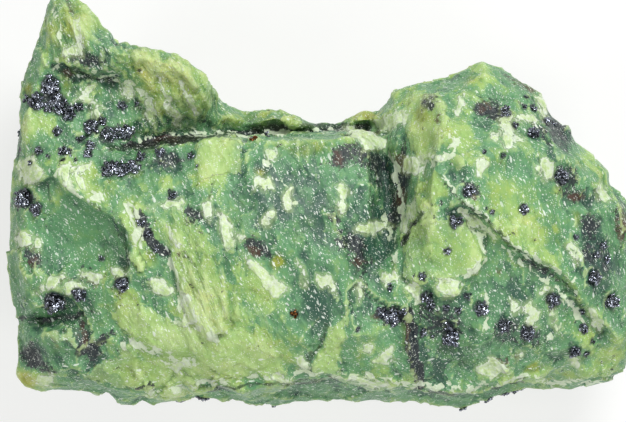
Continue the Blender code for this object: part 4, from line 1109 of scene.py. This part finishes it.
class OBJECT_OT_magnetite_grains(bpy.types.Operator):
    """Set the magnetite grains in the stone"""

    bl_idname = "object.magnetite_grains"
    bl_label = "Magnetite grains"

    def execute(self, context):
        look = context.scene.stone_grains
        stone = bpy.data.objects["stone"]
        hidden = hidden_places(stone, look.hidden, random.Random(look.seed))
        for name, places, tint in (
            ("magnetite_grains", placed_grains(stone, GRAINS) + hidden, look.metal),
            ("weathered_grains", placed_grains(stone, RUSTY_GRAINS), look.rusty),
        ):
            piece = make_grains(name, places, look.lumps, look.seed, metal_material(name, tint))
            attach(piece, "root")
        return {"FINISHED"}


def area_light(name, place, size, power):
    light = bpy.data.lights.new(name, "AREA")
    light.shape = "SQUARE"
    light.size = size
    light.energy = power
    lamp = bpy.data.objects.new(name, light)
    lamp.location = place
    lamp.rotation_euler = (AIM - Vector(place)).to_track_quat("-Z", "Y").to_euler()
    bpy.context.scene.collection.objects.link(lamp)


class OBJECT_OT_stone_stage(bpy.types.Operator):
    """Make the floor, the lights and the camera"""

    bl_idname = "object.stone_stage"
    bl_label = "Stage"

    def execute(self, context):
        look = context.scene.stone_stage
        bm = bmesh.new()
        bmesh.ops.create_grid(bm, x_segments=1, y_segments=1, size=FLOOR_HALF)
        floor = new_piece("floor", bm, floor_material(look.floor))

        for name, place, size in LIGHTS:
            area_light(name, place, size, getattr(look, name))
        world = bpy.data.worlds.new("soft light")
        world.use_nodes = True
        background = world.node_tree.nodes["Background"]
        background.inputs["Color"].default_value = (1.0, 1.0, 1.0, 1.0)
        background.inputs["Strength"].default_value = look.sky
        context.scene.world = world
        context.scene.view_settings.view_transform = "Standard"

        camera = bpy.data.cameras.new("camera")
        height = look.distance
        width = IMAGE_WIDTH * MM_PER_PIXEL * MM
        camera.lens = camera.sensor_width * (height - SCALE_HEIGHT) / width
        camera.clip_end = 10.0
        eye = bpy.data.objects.new("camera", camera)
        eye.location = ((VIEW_CENTRE[0] - MIDDLE[0]) * MM, (VIEW_CENTRE[1] - MIDDLE[1]) * MM, height)
        context.scene.collection.objects.link(eye)
        context.scene.camera = eye
        return {"FINISHED"}


class VIEW3D_PT_serpentine(bpy.types.Panel):
    """Buttons and settings for the stone"""

    bl_label = "Serpentine stone"
    bl_space_type = "VIEW_3D"
    bl_region_type = "UI"
    bl_category = "Stone"

    def draw(self, context):
        for operator in OPERATORS:
            self.layout.operator(operator.bl_idname)
        for name, group in GROUPS.items():
            box = self.layout.box()
            box.label(text=group.__doc__)
            for setting in group.__annotations__:
                box.prop(getattr(context.scene, name), setting)


OPERATORS = (OBJECT_OT_serpentine_stone, OBJECT_OT_magnetite_grains, OBJECT_OT_stone_stage)
CLASSES = (*GROUPS.values(), *OPERATORS, VIEW3D_PT_serpentine)


def register():
    for cls in CLASSES:
        bpy.utils.register_class(cls)
    for name, group in GROUPS.items():
        setattr(bpy.types.Scene, name, PointerProperty(type=group))


def unregister():
    for name in GROUPS:
        delattr(bpy.types.Scene, name)
    for cls in reversed(CLASSES):
        bpy.utils.unregister_class(cls)


def main():
    register()
    bpy.ops.object.serpentine_stone()
    bpy.ops.object.magnetite_grains()
    bpy.ops.object.stone_stage()


if __name__ == "__main__":
    main()
